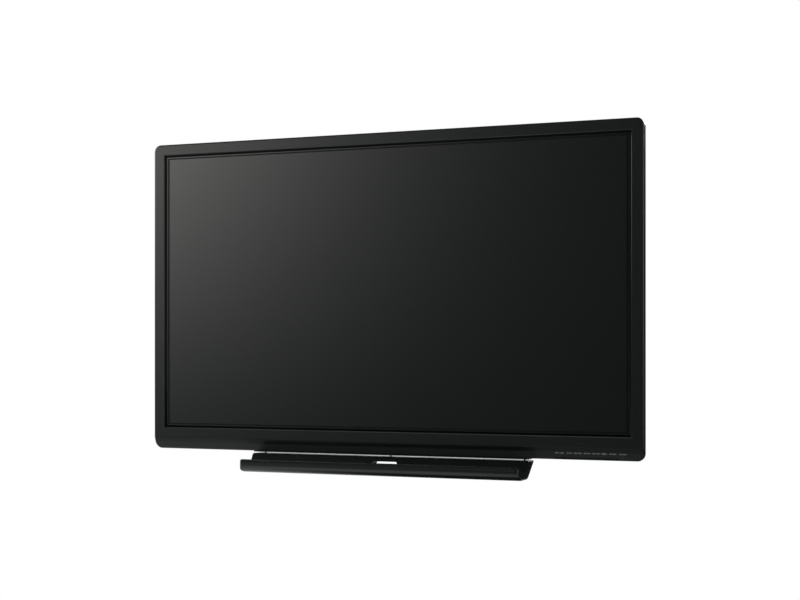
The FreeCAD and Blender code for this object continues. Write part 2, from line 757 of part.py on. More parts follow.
def back_pan():
    """Stamped pan with upturned walls and five raised ribs across its back."""
    margin = pan_margin()
    w, h = opening_size(margin)
    y0 = FILM_Y
    body = slab(w, h, 0, y0, PAN_BACK, 0, PICTURE_Z)
    body = body.cut(slab(w - 2 * PAN_T, h - 2 * PAN_T, 0, y0 - 1, PAN_Y, 0, PICTURE_Z))
    outer = []
    inner = []
    length = w * 0.9
    flare = 2 * PAN_RIB_FLARE
    wall = 2 * PAN_RIB_WALL
    for cz in rib_places():
        outer.append(taper(length, PAN_RIB_W + flare, PAN_BACK - 0.5,
                           length - flare, PAN_RIB_W, RIB_BACK, cz))
        inner.append(taper(length - wall, PAN_RIB_W + flare - wall, PAN_Y - 0.5, length - flare - wall,
                           PAN_RIB_W - wall, RIB_BACK - PAN_T, cz))
    return join(body, outer).cut(inner)


def led_bar(side):
    """Aluminium bar at one end of the light guide, with its row of light-emitting diodes."""
    margin = pan_margin() - PAN_T - SEAT
    w, h = opening_size(margin)
    x1 = side * w / 2
    x0 = x1 - side * LED_BAR_T
    bar = box(min(x0, x1), max(x0, x1), FILM_Y + SEAT, PAN_Y - SEAT,
              PICTURE_Z - h / 2 + LED_BAR_END, PICTURE_Z + h / 2 - LED_BAR_END)
    leds = []
    guide_end = PICTURE_W / 2 + GUIDE_LAP
    reach = abs(x0) - guide_end - LED_TO_GUIDE
    for z in spread(LEDS, PICTURE_H / LEDS):
        leds.append(block(x0 - side * reach / 2, GUIDE_Y + GUIDE_T / 2, PICTURE_Z + z, reach, *LED))
    return join(bar, leds)


# Rear cover and electronics housing
def housing_outline():
    x = HOUSING_W / 2
    bay_x = x - SIGNAL_BAY_REACH
    bay_z0, bay_z1 = SIGNAL_BAY_Z - SIGNAL_BAY_H / 2, SIGNAL_BAY_Z + SIGNAL_BAY_H / 2
    power_x0, power_x1 = POWER_BAY_LEFT, POWER_BAY_RIGHT
    power_z = HOUSING_BOTTOM + POWER_BAY_REACH
    r, b = HOUSING_R, 0.0
    return [
        (-x, HOUSING_BOTTOM, r),
        (power_x0, HOUSING_BOTTOM, b), (power_x0, power_z, b),
        (power_x1, power_z, b), (power_x1, HOUSING_BOTTOM, b),
        (x, HOUSING_BOTTOM, r),
        (x, bay_z0, b), (bay_x, bay_z0, b), (bay_x, bay_z1, b), (x, bay_z1, b),
        (x, HOUSING_TOP, r),
        (-x, HOUSING_TOP, r),
    ]


def rear_cover():
    """Shallow pan: brim against the bezel, drafted wall and a flat back with one large opening."""
    brim = slab(OUTER_W - 2 * COVER_LIP, OUTER_H - 2 * COVER_LIP, CORNER_R - COVER_LIP,
                COVER_FRONT, COVER_FRONT + COVER_T)
    edge = 2 * (COVER_LIP + BRIM_W)
    w, h, r = OUTER_W - edge, OUTER_H - edge, COVER_R
    near = 2 * COVER_DRAFT
    far = near + 2 * COVER_RIM
    t = 2 * COVER_T
    wall = lofted([(w, h, r, COVER_FRONT), (w - near, h - near, r, COVER_BACK_Y - COVER_RIM),
                   (w - far, h - far, r, COVER_BACK_Y)])
    inner = lofted([(w - t, h - t, r - COVER_T, COVER_FRONT - 1),
                    (w - near - t, h - near - t, r - COVER_T, COVER_BACK_Y - COVER_RIM - COVER_T / 2),
                    (w - far - t, h - far - t, r - COVER_T, COVER_BACK_Y - COVER_T)])
    opening = extrude(inset(housing_outline(), COVER_T + OPENING_INSET), front_view(at(0)), V(0, DEPTH, 0))
    body = brim.fuse(wall).removeSplitter()
    return body.cut(inner).cut(opening)


def vent_slots():
    """Cutters for the groups of slots in the housing."""
    mid = (COVER_BACK_Y + HOUSING_BACK_Y) / 2
    through = 4 * COVER_T
    cutters = []
    for group in (-VENT_GROUP_X, VENT_GROUP_X):
        for x in spread(TOP_SLOTS, SLOT_PITCH):
            cutters.append(block(group + x, mid, HOUSING_TOP, SLOT_W, SLOT_L, through))
        for x in spread(BACK_SLOTS, SLOT_PITCH):
            cutters.append(block(group + x, HOUSING_BACK_Y, HOUSING_TOP - BACK_SLOT_L,
                                 SLOT_W, through, BACK_SLOT_L))
    for group in (0.0, VENT_GROUP_X):
        for x in spread(BOTTOM_SLOTS, SLOT_PITCH):
            cutters.append(block(group + x, mid, HOUSING_BOTTOM, SLOT_W, SLOT_L, through))
    for side in (-1, 1):
        for z in spread(SPEAKER_SLOTS, SPEAKER_SLOT_PITCH):
            cutters.append(block(side * HOUSING_W / 2, mid, SPEAKER_Z + z, through, SLOT_L, SLOT_W))
    return cutters


def bay_wall_x():
    return HOUSING_W / 2 - SIGNAL_BAY_REACH


def bay_wall_z():
    return HOUSING_BOTTOM + POWER_BAY_REACH


def terminal_window():
    """Half length and depth range of the window behind which the terminal plate sits."""
    return SIGNAL_BAY_H / 2 - WINDOW_INSET, BOARD_Y + FIT, socket_base() + LAN[1] + WINDOW_OVER


def electronics_housing():
    """Deep cover over the boards, with two bays for plugs, rows of vents and a flange."""
    y0 = COVER_BACK_Y + SEAT
    outline = housing_outline()
    body = extrude(outline, front_view(y0), V(0, HOUSING_BACK_Y - y0, 0))
    rim = [e for e in body.Edges if all(v.Point.y > HOUSING_BACK_Y - 0.01 for v in e.Vertexes)]
    body = body.makeChamfer(HOUSING_RIM, rim)
    inner_back = HOUSING_BACK_Y - COVER_T
    inner = extrude(inset(outline, COVER_T), front_view(y0 - 1), V(0, inner_back - y0 + 1, 0))
    inner_rim = [e for e in inner.Edges if all(v.Point.y > inner_back - 0.01 for v in e.Vertexes)]
    inner = inner.makeChamfer(HOUSING_RIM - COVER_T * (2 - math.sqrt(2)), inner_rim)
    flange = flange_strips(y0)
    body = join(body.cut(inner), flange)
    cutters = vent_slots()
    half, window_y0, window_y1 = terminal_window()
    cutters.append(box(bay_wall_x() - 3, bay_wall_x() + 3, window_y0, window_y1,
                       SIGNAL_BAY_Z - half, SIGNAL_BAY_Z + half))
    inlet_y = at(INLET_DEPTH_POS)
    cutters.append(block(INLET_X, inlet_y, bay_wall_z(), INLET[0] + 2 * FIT, INLET[1] + 2 * FIT, 4 * COVER_T))
    cutters.append(block(SWITCH_X, inlet_y, bay_wall_z(), SWITCH_FRAME[0] + 2 * FIT,
                         SWITCH_FRAME[1] + 2 * FIT, 4 * COVER_T))
    for x in (-MOUNT_PITCH / 2, MOUNT_PITCH / 2):
        for z in (-MOUNT_PITCH / 2, MOUNT_PITCH / 2):
            cutters.append(Part.makeCylinder(MOUNT_BOSS_R + FIT, 4 * COVER_T,
                                             V(x, HOUSING_BACK_Y - 2 * COVER_T, z), V(0, 1, 0)))
    return body.cut(cutters)


def flange_strips(y0):
    """Flat flange outside the housing's top, left and lower walls, where it screws to the rear cover."""
    x = HOUSING_W / 2
    f = HOUSING_FLANGE
    y1 = y0 + COVER_T
    r = HOUSING_R
    return [
        box(-x + r, x - r, y0, y1, HOUSING_TOP - COVER_T / 2, HOUSING_TOP + f),
        box(-x - f, -x + COVER_T / 2, y0, y1, HOUSING_BOTTOM + r, HOUSING_TOP - r),
        box(POWER_BAY_RIGHT + r, x - r, y0, y1, HOUSING_BOTTOM - f, HOUSING_BOTTOM + COVER_T / 2),
        box(x - COVER_T / 2, x + f, y0, y1, SIGNAL_BAY_Z + SIGNAL_BAY_H / 2 + r, HOUSING_TOP - r),
    ]


def carry_handle(side, level):
    """Bridge-shaped grip on the flat back of the rear cover."""
    y0 = COVER_BACK_Y + SEAT
    y1 = y0 + HANDLE_REACH
    cz = level * HANDLE_Z
    h = HANDLE_H / 2
    foot = h - HANDLE_LEG
    grip = foot - HANDLE_SLOPE
    top = h - HANDLE_SHOULDER
    outline = [
        (y0, cz - h, 0.0), (y0, cz - foot, 0.0), (y1 - HANDLE_GRIP, cz - grip, HANDLE_INNER_R),
        (y1 - HANDLE_GRIP, cz + grip, HANDLE_INNER_R), (y0, cz + foot, 0.0), (y0, cz + h, 0.0),
        (y1, cz + top, HANDLE_OUTER_R), (y1, cz - top, HANDLE_OUTER_R),
    ]
    x = side * HANDLE_X
    return extrude(outline, side_view(x - HANDLE_W / 2), V(HANDLE_W, 0, 0))


# Structure and boards
def mounting_rail(side):
    """Hat-section rail on the back pan that carries two of the four M6 bosses."""
    x = side * MOUNT_PITCH / 2
    y0 = RIB_BACK + SEAT
    y1 = at(RAIL_BACK)
    w, f, t = RAIL_W / 2, RAIL_FOOT, RAIL_T
    outline = [
        (x - w - f, y0), (x - w + t, y0), (x - w + t, y1 - t), (x + w - t, y1 - t), (x + w - t, y0),
        (x + w + f, y0), (x + w + f, y0 + t), (x + w, y0 + t), (x + w, y1), (x - w, y1), (x - w, y0 + t),
        (x - w - f, y0 + t),
    ]
    outline = [(a, b, 0.0) for a, b in outline]
    bottom = HOUSING_BOTTOM + RAIL_END
    hat = extrude(outline, plan_view(bottom), V(0, 0, HOUSING_TOP - RAIL_END - bottom))
    bosses = []
    bores = []
    for z in (-MOUNT_PITCH / 2, MOUNT_PITCH / 2):
        bosses.append(Part.makeCylinder(MOUNT_BOSS_R, -y1 + t / 2, V(x, y1 - t / 2, z), V(0, 1, 0)))
        bores.append(Part.makeCylinder(MOUNT_HOLE_R, -y1 + 2 * t, V(x, y1 - 2 * t, z), V(0, 1, 0)))
    return join(hat, bosses).cut(bores)


def board_place(name):
    """Centre (x, z), size (w, h) and front face Y of a board."""
    if name == "main":
        left = RAIL_EDGE + MAIN_BOARD_TO_RAIL
        right = bay_wall_x() - COVER_T - PLATE_T - PLATE_TO_BOARD
        return (left + right) / 2, SIGNAL_BAY_Z, right - left, MAIN_BOARD_H, BOARD_Y
    if name == "supply":
        left = -HOUSING_W / 2 + COVER_T + SUPPLY_BOARD_INSET
        right = -RAIL_EDGE - SUPPLY_BOARD_TO_RAIL
        z = bay_wall_z() + SUPPLY_BOARD_RISE + SUPPLY_BOARD_H / 2
        return (left + right) / 2, z, right - left, SUPPLY_BOARD_H, BOARD_Y
    if name == "timing":
        w, h = TIMING_BOARD
        return 0.0, HOUSING_TOP - PANEL_BOARD_INSET, w, h, at(PANEL_BOARD_LIFT)
    w, h = TOUCH_BOARD
    return 0.0, HOUSING_BOTTOM + PANEL_BOARD_INSET, w, h, at(PANEL_BOARD_LIFT)


def board(name):
    x, z, w, h, y = board_place(name)
    return box(x - w / 2, x + w / 2, y, y + BOARD_T, z - h / 2, z + h / 2)


def standing(x, y, z, size):
    """Component on a board whose rear face is at y."""
    return block(x, y + size[1] / 2, z, *size)


def main_board():
    x, z, w, h, y = board_place("main")
    top = y + BOARD_T
    chips = [
        standing(x - w * 0.15, top, z + h * 0.2, PROCESSOR),
        standing(x - w * 0.15, top + PROCESSOR[1], z + h * 0.2, COOLER),
        standing(x - w * 0.1, top, z - h * 0.15, MEMORY),
        standing(x + w * 0.1, top, z - h * 0.38, REGULATOR),
    ]
    return join(board("main"), chips)


def power_supply_board():
    x, z, w, h, y = board_place("supply")
    top = y + BOARD_T
    parts = [
        standing(x - w * 0.2, top, z + h * 0.05, TRANSFORMER),
        standing(x + w * 0.2, top, z - h * 0.2, CHOKE),
        standing(x + w * 0.05, top, z + h * 0.28, HEATSINK),
        standing(x - w * 0.1, top, z - h * 0.42, CAPACITORS),
    ]
    return join(board("supply"), parts)


def timing_board():
    x, z, w, h, y = board_place("timing")
    top = y + BOARD_T
    parts = [standing(x, top, z, TIMING_CHIP)]
    parts += [standing(x + s * w * 0.35, top, z + h * 0.38, PANEL_CONNECTOR) for s in (-1, 1)]
    return join(board("timing"), parts)


def touch_controller_board():
    x, z, w, h, y = board_place("touch")
    top = y + BOARD_T
    parts = [standing(x, top, z, TOUCH_CHIP)]
    parts += [standing(x + s * w * 0.38, top, z, TOUCH_CONNECTOR) for s in (-1, 1)]
    return join(board("touch"), parts)


def board_spacers():
    """Six-sided posts between the back pan and the boards."""
    posts = []
    for name in ("main", "supply", "timing", "touch"):
        x, z, w, h, y = board_place(name)
        length = y - PAN_BACK - 2 * SEAT
        for sx in (-1, 1):
            for sz in (-1, 1):
                cx = x + sx * (w / 2 - SPACER_INSET)
                cz = clear_of_ribs(z + sz * (h / 2 - SPACER_INSET), -sz)
                posts.append(hexagon(cx, cz, SPACER_R, PAN_BACK + SEAT, length))
    return Part.makeCompound(posts)


def clear_of_ribs(z, toward):
    """Height of a post, moved towards the middle of its board where it would stand on a rib's flank."""
    reach = PAN_RIB_W / 2 + PAN_RIB_FLARE + SPACER_R + FIT
    for rib in rib_places():
        if abs(z - rib) < reach:
            return rib + toward * reach
    return z


def hexagon(cx, cz, r, y, length):
    turns = [k * math.pi / 3 for k in range(6)]
    corners = [(cx + r * math.cos(t), cz + r * math.sin(t), 0.0) for t in turns]
    return extrude(corners, front_view(y), V(0, length, 0))


def speaker(side):
    """Closed speaker box against the housing's side wall, with an oblong recess for the driver."""
    w, d, h = SPEAKER
    x1 = HOUSING_W / 2 - COVER_T - SEAT
    mid = (COVER_BACK_Y + HOUSING_BACK_Y) / 2
    shell = block(side * (x1 - w / 2), mid, SPEAKER_Z, w, d, h)
    rim = 2 * SPEAKER_RIM
    return shell.cut(block(side * x1, mid, SPEAKER_Z, 2 * SPEAKER_RECESS, d - rim, h - rim))


# Sockets
def socket_places():
    """Z of each socket on the terminal plate, from the top down."""
    names = ["lan", "usb_a", "usb_b", "video_a", "video_b", "analogue", "serial", "audio_a", "audio_b"]
    zs = spread(len(names), -SOCKET_PITCH)
    return {name: SIGNAL_BAY_Z + z for name, z in zip(names, zs)}


def socket_base():
    """Front face of the sockets, which stand on the main board."""
    return BOARD_Y + BOARD_T + SEAT


def socket_solid(size, z, bore, tongue=None):
    """Open metal shell on the main board's edge, flush with the bay wall."""
    length, height = size
    y0 = socket_base()
    x1 = bay_wall_x() + 0.5
    x0 = x1 - SOCKET_DEPTH
    body = box(x0, x1, y0, y0 + height, z - length / 2, z + length / 2)
    body = body.cut(box(x0 + 2, x1 + 1, y0 + SHELL_T, y0 + height - SHELL_T,
                        z - length / 2 + bore, z + length / 2 - bore))
    if tongue:
        mid = y0 + height / 2
        body = body.fuse(box(x0 + 1, x1 - 2, mid - tongue / 2, mid + tongue / 2,
                             z - length / 2 + bore + 1.5, z + length / 2 - bore - 1.5))
    return body.removeSplitter()


def network_socket():
    return socket_solid(LAN, socket_places()["lan"], 1.6)


def usb_sockets():
    at_z = socket_places()
    return Part.makeCompound([socket_solid(USB, at_z[n], SHELL_T, 1.8) for n in ("usb_a", "usb_b")])


def video_sockets():
    at_z = socket_places()
    return Part.makeCompound([socket_solid(VIDEO, at_z[n], SHELL_T, 1.4) for n in ("video_a", "video_b")])


def analogue_and_serial_sockets():
    """Two shells with a ring of pins' block inside, and the two screw posts of each."""
    at_z = socket_places()
    length, height = SUB_D
    made = []
    for name in ("analogue", "serial"):
        shell = socket_solid((length * 0.58, height), at_z[name], SHELL_T, 5.0)
        y = socket_base() + height / 2
        x1 = bay_wall_x() + 0.5
        posts = []
        for s in (-1, 1):
            z = at_z[name] + s * length * 0.4
            posts.append(hexagon_along_x(y, z, 2.6, x1 - SOCKET_DEPTH, SOCKET_DEPTH))
        bridge = box(x1 - SOCKET_DEPTH, x1 - SOCKET_DEPTH + 2, y - height / 2, y + height / 2,
                     at_z[name] - length / 2, at_z[name] + length / 2)
        made.append(join(shell, posts + [bridge]))
    return Part.makeCompound(made)


def hexagon_along_x(cy, cz, r, x, length):
    turns = [k * math.pi / 3 for k in range(6)]
    corners = [(cy + r * math.cos(t), cz + r * math.sin(t), 0.0) for t in turns]
    return extrude(corners, side_view(x), V(length, 0, 0))


def audio_sockets():
    at_z = socket_places()
    x1 = bay_wall_x() + 0.5
    x0 = x1 - SOCKET_DEPTH
    y = socket_base() + AUDIO[1] / 2
    made = []
    for name in ("audio_a", "audio_b"):
        z = at_z[name]
        body = block((x0 + x1) / 2, y, z, SOCKET_DEPTH, AUDIO[1], AUDIO[0])
        made.append(body.cut(Part.makeCylinder(AUDIO_BORE_R, SOCKET_DEPTH, V(x0 + 2, y, z), V(1, 0, 0))))
    return Part.makeCompound(made)


def terminal_plate():
    """Steel plate inside the signal bay's window, with a hole for each socket."""
    half, y0, y1 = terminal_window()
    margin = 4.0
    x1 = bay_wall_x() - COVER_T - SEAT
    plate = box(x1 - PLATE_T, x1, COVER_BACK_Y + FIT, y1 + margin, SIGNAL_BAY_Z - half - margin,
                SIGNAL_BAY_Z + half + margin)
    at_z = socket_places()
    base = socket_base()
    sizes = {"lan": LAN, "usb": USB, "video": VIDEO, "analogue": SUB_D, "serial": SUB_D, "audio": AUDIO}
    cutters = []
    for name, z in at_z.items():
        length, height = sizes[name.split("_")[0]]
        cutters.append(box(x1 - 3 * PLATE_T, x1 + PLATE_T, base - FIT, base + height + FIT,
                           z - length / 2 - FIT, z + length / 2 + FIT))
    return plate.cut(cutters)


def ac_inlet():
    """Three-pin mains inlet that faces down in the power bay."""
    y = at(INLET_DEPTH_POS)
    face = bay_wall_z() - SEAT
    fw, fd, fh = INLET_FLANGE
    w, d, h = INLET
    cw, cd, ch = INLET_CAVITY
    flange = block(INLET_X, y, face - fh / 2, fw, fd, fh)
    corners = [e for e in flange.Edges if abs(e.Vertexes[0].Point.z - e.Vertexes[-1].Point.z) > 1]
    flange = flange.makeChamfer(3.0, corners)
    body = block(INLET_X, y, face + h / 2 - fh / 2, w, d, h + fh)
    body = join(flange, [body])
    mouth = [
        (INLET_X - cw / 2, y - cd / 2, 0.0), (INLET_X + cw / 2, y - cd / 2, 0.0),
        (INLET_X + cw / 2, y + cd / 2 - 5, 0.0), (INLET_X + cw / 2 - 5, y + cd / 2, 0.0),
        (INLET_X - cw / 2 + 5, y + cd / 2, 0.0), (INLET_X - cw / 2, y + cd / 2 - 5, 0.0),
    ]
    body = body.cut(extrude(mouth, plan_view(face - fh - 1), V(0, 0, ch + 1)))
    roof = face - fh + ch
    pins = []
    for x, dy in ((-PIN_PITCH, -1.0), (0.0, 3.0), (PIN_PITCH, -1.0)):
        pins.append(block(INLET_X + x, y + dy, roof - PIN[2] / 2 + 0.5, PIN[0], PIN[1], PIN[2] + 1))
    return join(body, pins)


def rocker_axis_z():
    """Height of the rocker's pivot, inside the switch frame."""
    return bay_wall_z() - SEAT - SWITCH_FLANGE[2] + 2.0


def switch_frame():
    y = at(INLET_DEPTH_POS)
    face = bay_wall_z() - SEAT
    w, d, h = SWITCH_FRAME
    fw, fd, fh = SWITCH_FLANGE
    flange = block(SWITCH_X, y, face - fh / 2, fw, fd, fh)
    corners = [e for e in flange.Edges if abs(e.Vertexes[0].Point.z - e.Vertexes[-1].Point.z) > 1]
    flange = flange.makeChamfer(1.5, corners)
    body = join(flange, [block(SWITCH_X, y, face + h / 2 - fh / 2, w, d, h + fh)])
    well = (ROCKER[0] + 2 * ROCKER_WELL[0], ROCKER[1] + 2 * FIT)
    depth = ROCKER_DEPTH + ROCKER_WELL[1]
    body = body.cut(block(SWITCH_X, y, face - fh + depth / 2 - 1, well[0], well[1], depth + 2))
    sockets = Part.makeCylinder(ROCKER_PIN_R + SEAT, well[1] + 2 * ROCKER_SOCKET,
                                V(SWITCH_X, y - well[1] / 2 - ROCKER_SOCKET, rocker_axis_z()), V(0, 1, 0))
    return body.cut(sockets)


def power_rocker():
    """Rocker with a shallow V face, at rest in its off position."""
    y = at(INLET_DEPTH_POS)
    w, d = ROCKER
    axis = rocker_axis_z()
    face = bay_wall_z() - SEAT - SWITCH_FLANGE[2]
    end = face - ROCKER_STAND
    outline = [
        (SWITCH_X - w / 2, end, ROCKER_TIP_R),
        (SWITCH_X, end + ROCKER_DISH, ROCKER_DISH_R),
        (SWITCH_X + w / 2, end, ROCKER_TIP_R),
        (SWITCH_X + w / 2 - ROCKER_TAPER, axis + ROCKER_DEPTH / 2, 0.0),
        (SWITCH_X - w / 2 + ROCKER_TAPER, axis + ROCKER_DEPTH / 2, 0.0),
    ]
    start = y - d / 2
    body = extrude(outline, lambda a, b: V(a, start, b), V(0, d, 0))
    reach = FIT + ROCKER_PIN_BITE
    pins = Part.makeCylinder(ROCKER_PIN_R, d + 2 * reach, V(SWITCH_X, start - reach, axis), V(0, 1, 0))
    body = join(body, [pins])
    body.rotate(V(SWITCH_X, y, axis), V(0, 1, 0), -ROCKER_TILT)
    return body


# Pen tray
def tray_outline():
    """Section of the tray in depth and height, anticlockwise seen from +X with depth to the right."""
    return [
        (at(TRAY_FRONT), up(-TRAY_BOTTOM), TRAY_FRONT_R),
        (at(TRAY_HEEL), up(-TRAY_BOTTOM), 12.0),
        (at(TRAY_REAR), up(-TRAY_GAP), 2.0),
        (at(TRAY_BACK_EDGE), up(-TRAY_GAP), 1.5),
        (at(TRAY_VALLEY), up(-TRAY_VALLEY_DROP), 6.0),
        (at(TRAY_FRONT + TRAY_LIP_W), up(-TRAY_LIP_DROP), 1.5),
        (at(TRAY_FRONT), up(-TRAY_LIP_DROP), 2.0),
    ]


def tray_hollow_outline():
    """Inside of the hollow section; the lip above it is solid."""
    t = TRAY_WALL
    lip = up(-TRAY_LIP_DROP - LIP_SOLID)
    moved = inset(tray_outline(), t)
    front = moved[0]
    floor_a, floor_b = moved[4], moved[5]
    share = (lip - floor_a[1]) / (floor_b[1] - floor_a[1])
    meet = floor_a[0] + (floor_b[0] - floor_a[0]) * share
    front_r = min(front[2], lip - front[1] - 1.0)
    corner = (front[0], front[1], front_r)
    return [corner, moved[1], moved[2], moved[3], moved[4], (meet, lip, 0.0), (front[0], lip, 0.0)]


def tray_body():
    """Hollow moulding, open at both ends, with a walled slot through its back."""
    half = TRAY_W / 2 - CAP_T
    body = extrude(tray_outline(), side_view(-half), V(2 * half, 0, 0))
    hollow = extrude(tray_hollow_outline(), side_view(-half - 1), V(2 * half + 2, 0, 0))
    sleeve = slot_prism(TRAY_WALL)
    body = body.cut(hollow.cut(sleeve))
    return body.cut(slot_prism(0.0)).removeSplitter()


def slot_prism(grow):
    """The slot through the tray's back section, grown by a wall."""
    cz = up(-SLOT_TOP_DROP - SLOT_OPEN_H / 2)
    r = 0.0 if grow else SLOT_R
    w, h = SLOT_OPEN_W + 2 * grow, SLOT_OPEN_H + 2 * grow
    return slab(w, h, r, at(TRAY_VALLEY - 12), at(TRAY_REAR + 5), 0, cz)


def cap_mask(side, y0, y1, top, top_r):
    """Space for a stretch of the end cap, with its outer corners rounded as seen from the front."""
    inner = side * (TRAY_W / 2 - CAP_T) + side * SEAT
    outer = side * TRAY_W / 2
    bottom = up(-TRAY_BOTTOM) - 1
    outline = [(inner, bottom, 0.0), (outer, bottom, CAP_FOOT_R), (outer, top, top_r), (inner, top, 0.0)]
    return extrude(outline, front_view(y0), V(0, y1 - y0, 0))


def tray_end_cap(side):
    """Rounded end of the tray with a plug that fits the hollow section."""
    inner = side * (TRAY_W / 2 - CAP_T)
    section = extrude(tray_outline(), side_view(inner + side * SEAT), V(side * (CAP_T - SEAT), 0, 0))
    valley = at(TRAY_VALLEY)
    front = cap_mask(side, at(TRAY_FRONT) - 1, valley, up(-TRAY_LIP_DROP), CAP_LIP_R)
    back = cap_mask(side, valley, at(TRAY_REAR) + 1, up(-TRAY_GAP), CAP_BACK_R)
    plan = [
        (inner, at(TRAY_FRONT), 0.0), (side * TRAY_W / 2, at(TRAY_FRONT), CAP_LIP_R),
        (side * TRAY_W / 2, at(TRAY_REAR), 0.0), (inner, at(TRAY_REAR), 0.0),
    ]
    body = section.common(front.fuse(back))
    body = body.common(extrude(plan, plan_view(up(-TRAY_BOTTOM) - 1), V(0, 0, TRAY_BOTTOM)))
    plug = extrude(inset(tray_hollow_outline(), FIT), side_view(inner - side * CAP_PLUG),
                   V(side * (CAP_PLUG + 1), 0, 0))
    return join(body, [plug])


def tray_mount_bar():
    """Flat steel bar under the display that the tray hangs from."""
    top = up(-FIT)
    return box(-BAR_W / 2, BAR_W / 2, at(BAR_FRONT), at(BAR_REAR), top - BAR_T, top)


def tray_pads():
    """Flat pads that leave a narrow gap between the bar and the tray."""
    top = up(-FIT) - BAR_T - SEAT
    bottom = up(-TRAY_GAP) + SEAT
    w, d = PAD
    y = at(BAR_REAR) - d
    pitch = (TRAY_W - 2 * PAD_INSET) / (TRAY_PADS - 1)
    return Part.makeCompound([block(x, y, (top + bottom) / 2, w, d, top - bottom)
                              for x in spread(TRAY_PADS, pitch)])


def tray_bracket(side):
    """Steel angle: foot on the bar, upright against the rear cover's flat back."""
    x = side * BRACKET_X
    w = BRACKET_W / 2
    y1 = COVER_BACK_Y + SEAT
    foot_bottom = up(-FIT) + SEAT
    foot = box(x - w, x + w, at(BAR_FRONT + 6), y1 + BRACKET_T, foot_bottom, foot_bottom + BRACKET_T)
    upright = box(x - w, x + w, y1, y1 + BRACKET_T, foot_bottom, foot_bottom + BRACKET_H)
    top_corners = []
    body = foot.fuse(upright).removeSplitter()
    for e in body.Edges:
        a, b = e.Vertexes[0].Point, e.Vertexes[-1].Point
        through = abs(abs(a.y - b.y) - BRACKET_T) < 0.1
        if through and a.z > foot_bottom + BRACKET_H - 1:
            top_corners.append(e)
    return body.makeFillet(BRACKET_R, top_corners)


def all_nodes():
    nodes = {
        "front_bezel": front_bezel(),
        "filter_frame": filter_frame(),
        "protective_glass": protective_glass(),
        "glass_gasket": glass_gasket(),
        "touch_frame": touch_frame(),
        "module_front_frame": module_front_frame(),
        "lcd_cell": lcd_cell(),
        "module_mid_frame": module_mid_frame(),
        "optical_film_stack": optical_film_stack(),
        "light_guide_plate": light_guide_plate(),
        "reflector_sheet": reflector_sheet(),
        "back_pan": back_pan(),
        "led_bar_left": led_bar(-1),
        "led_bar_right": led_bar(1),
        "rear_cover": rear_cover(),
        "electronics_housing": electronics_housing(),
        "mounting_rail_left": mounting_rail(-1),
        "mounting_rail_right": mounting_rail(1),
        "main_board": main_board(),
        "power_supply_board": power_supply_board(),
        "timing_board": timing_board(),
        "touch_controller_board": touch_controller_board(),
        "board_spacers": board_spacers(),
        "speaker_left": speaker(-1),
        "speaker_right": speaker(1),
        "terminal_plate": terminal_plate(),
        "network_socket": network_socket(),
        "usb_sockets": usb_sockets(),
        "video_sockets": video_sockets(),
        "analogue_and_serial_sockets": analogue_and_serial_sockets(),
        "audio_sockets": audio_sockets(),
        "ac_inlet": ac_inlet(),
        "switch_frame": switch_frame(),
        "power_rocker": power_rocker(),
        "key_board": key_board(),
        "indicator_lens": indicator_lens(),
        "tray_body": tray_body(),
        "tray_end_cap_left": tray_end_cap(-1),
        "tray_end_cap_right": tray_end_cap(1),
        "tray_mount_bar": tray_mount_bar(),
        "tray_pads": tray_pads(),
        "tray_bracket_left": tray_bracket(-1),
        "tray_bracket_right": tray_bracket(1),
    }
    for side in ("top", "bottom", "left", "right"):
        nodes["touch_board_" + side] = touch_board(side)
    for i, x in enumerate(key_places()):
        nodes["function_key_%d" % (i + 1)] = function_key(x)
    for side, sign in (("left", -1), ("right", 1)):
        nodes["carry_handle_upper_" + side] = carry_handle(sign, 1)
        nodes["carry_handle_lower_" + side] = carry_handle(sign, -1)
    return nodes


os.makedirs("parts", exist_ok=True)
for name, shape in all_nodes().items():
    shape.exportStep("parts/%s.step" % name)
    facts = (name, len(shape.Solids), shape.isValid(), shape.Volume)
    print("%-30s solids %2d  valid %s  volume %.0f" % facts)
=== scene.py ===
import json
import math

import bmesh
import bpy
from mathutils import Matrix, Vector


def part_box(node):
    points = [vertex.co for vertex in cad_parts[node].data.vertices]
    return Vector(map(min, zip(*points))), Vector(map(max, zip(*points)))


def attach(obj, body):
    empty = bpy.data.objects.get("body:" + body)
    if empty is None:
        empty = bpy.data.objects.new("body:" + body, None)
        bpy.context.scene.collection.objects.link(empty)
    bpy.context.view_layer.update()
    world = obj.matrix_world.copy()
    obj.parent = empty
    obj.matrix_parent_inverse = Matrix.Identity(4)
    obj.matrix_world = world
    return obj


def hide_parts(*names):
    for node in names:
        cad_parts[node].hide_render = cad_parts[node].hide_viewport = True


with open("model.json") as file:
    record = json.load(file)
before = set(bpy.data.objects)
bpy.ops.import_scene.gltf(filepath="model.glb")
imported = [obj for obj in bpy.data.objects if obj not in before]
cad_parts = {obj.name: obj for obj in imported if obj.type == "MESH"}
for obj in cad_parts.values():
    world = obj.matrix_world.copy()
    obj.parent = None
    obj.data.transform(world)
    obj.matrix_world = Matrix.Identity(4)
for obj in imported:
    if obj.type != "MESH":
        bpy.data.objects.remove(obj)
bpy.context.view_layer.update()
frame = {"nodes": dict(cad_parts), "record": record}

# Interactive display with a pen tray: materials, small parts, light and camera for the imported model.
# Lengths are in metres. Angles are in degrees unless a comment says otherwise.

NODES = frame["nodes"]

# Camera, fitted to the photograph
CAMERA_AT = (1.648, -3.899, -0.1472)
CAMERA_YAW = 22.86        # to the left of +Y
FOCAL_PX = 1554.3
IMAGE_W = 800
IMAGE_H = 600
HORIZON_Y = 348.6
SENSOR = 36.0             # mm
SHIFT_PX = 0.45           # picture moved to the left
CLIP_END = 200

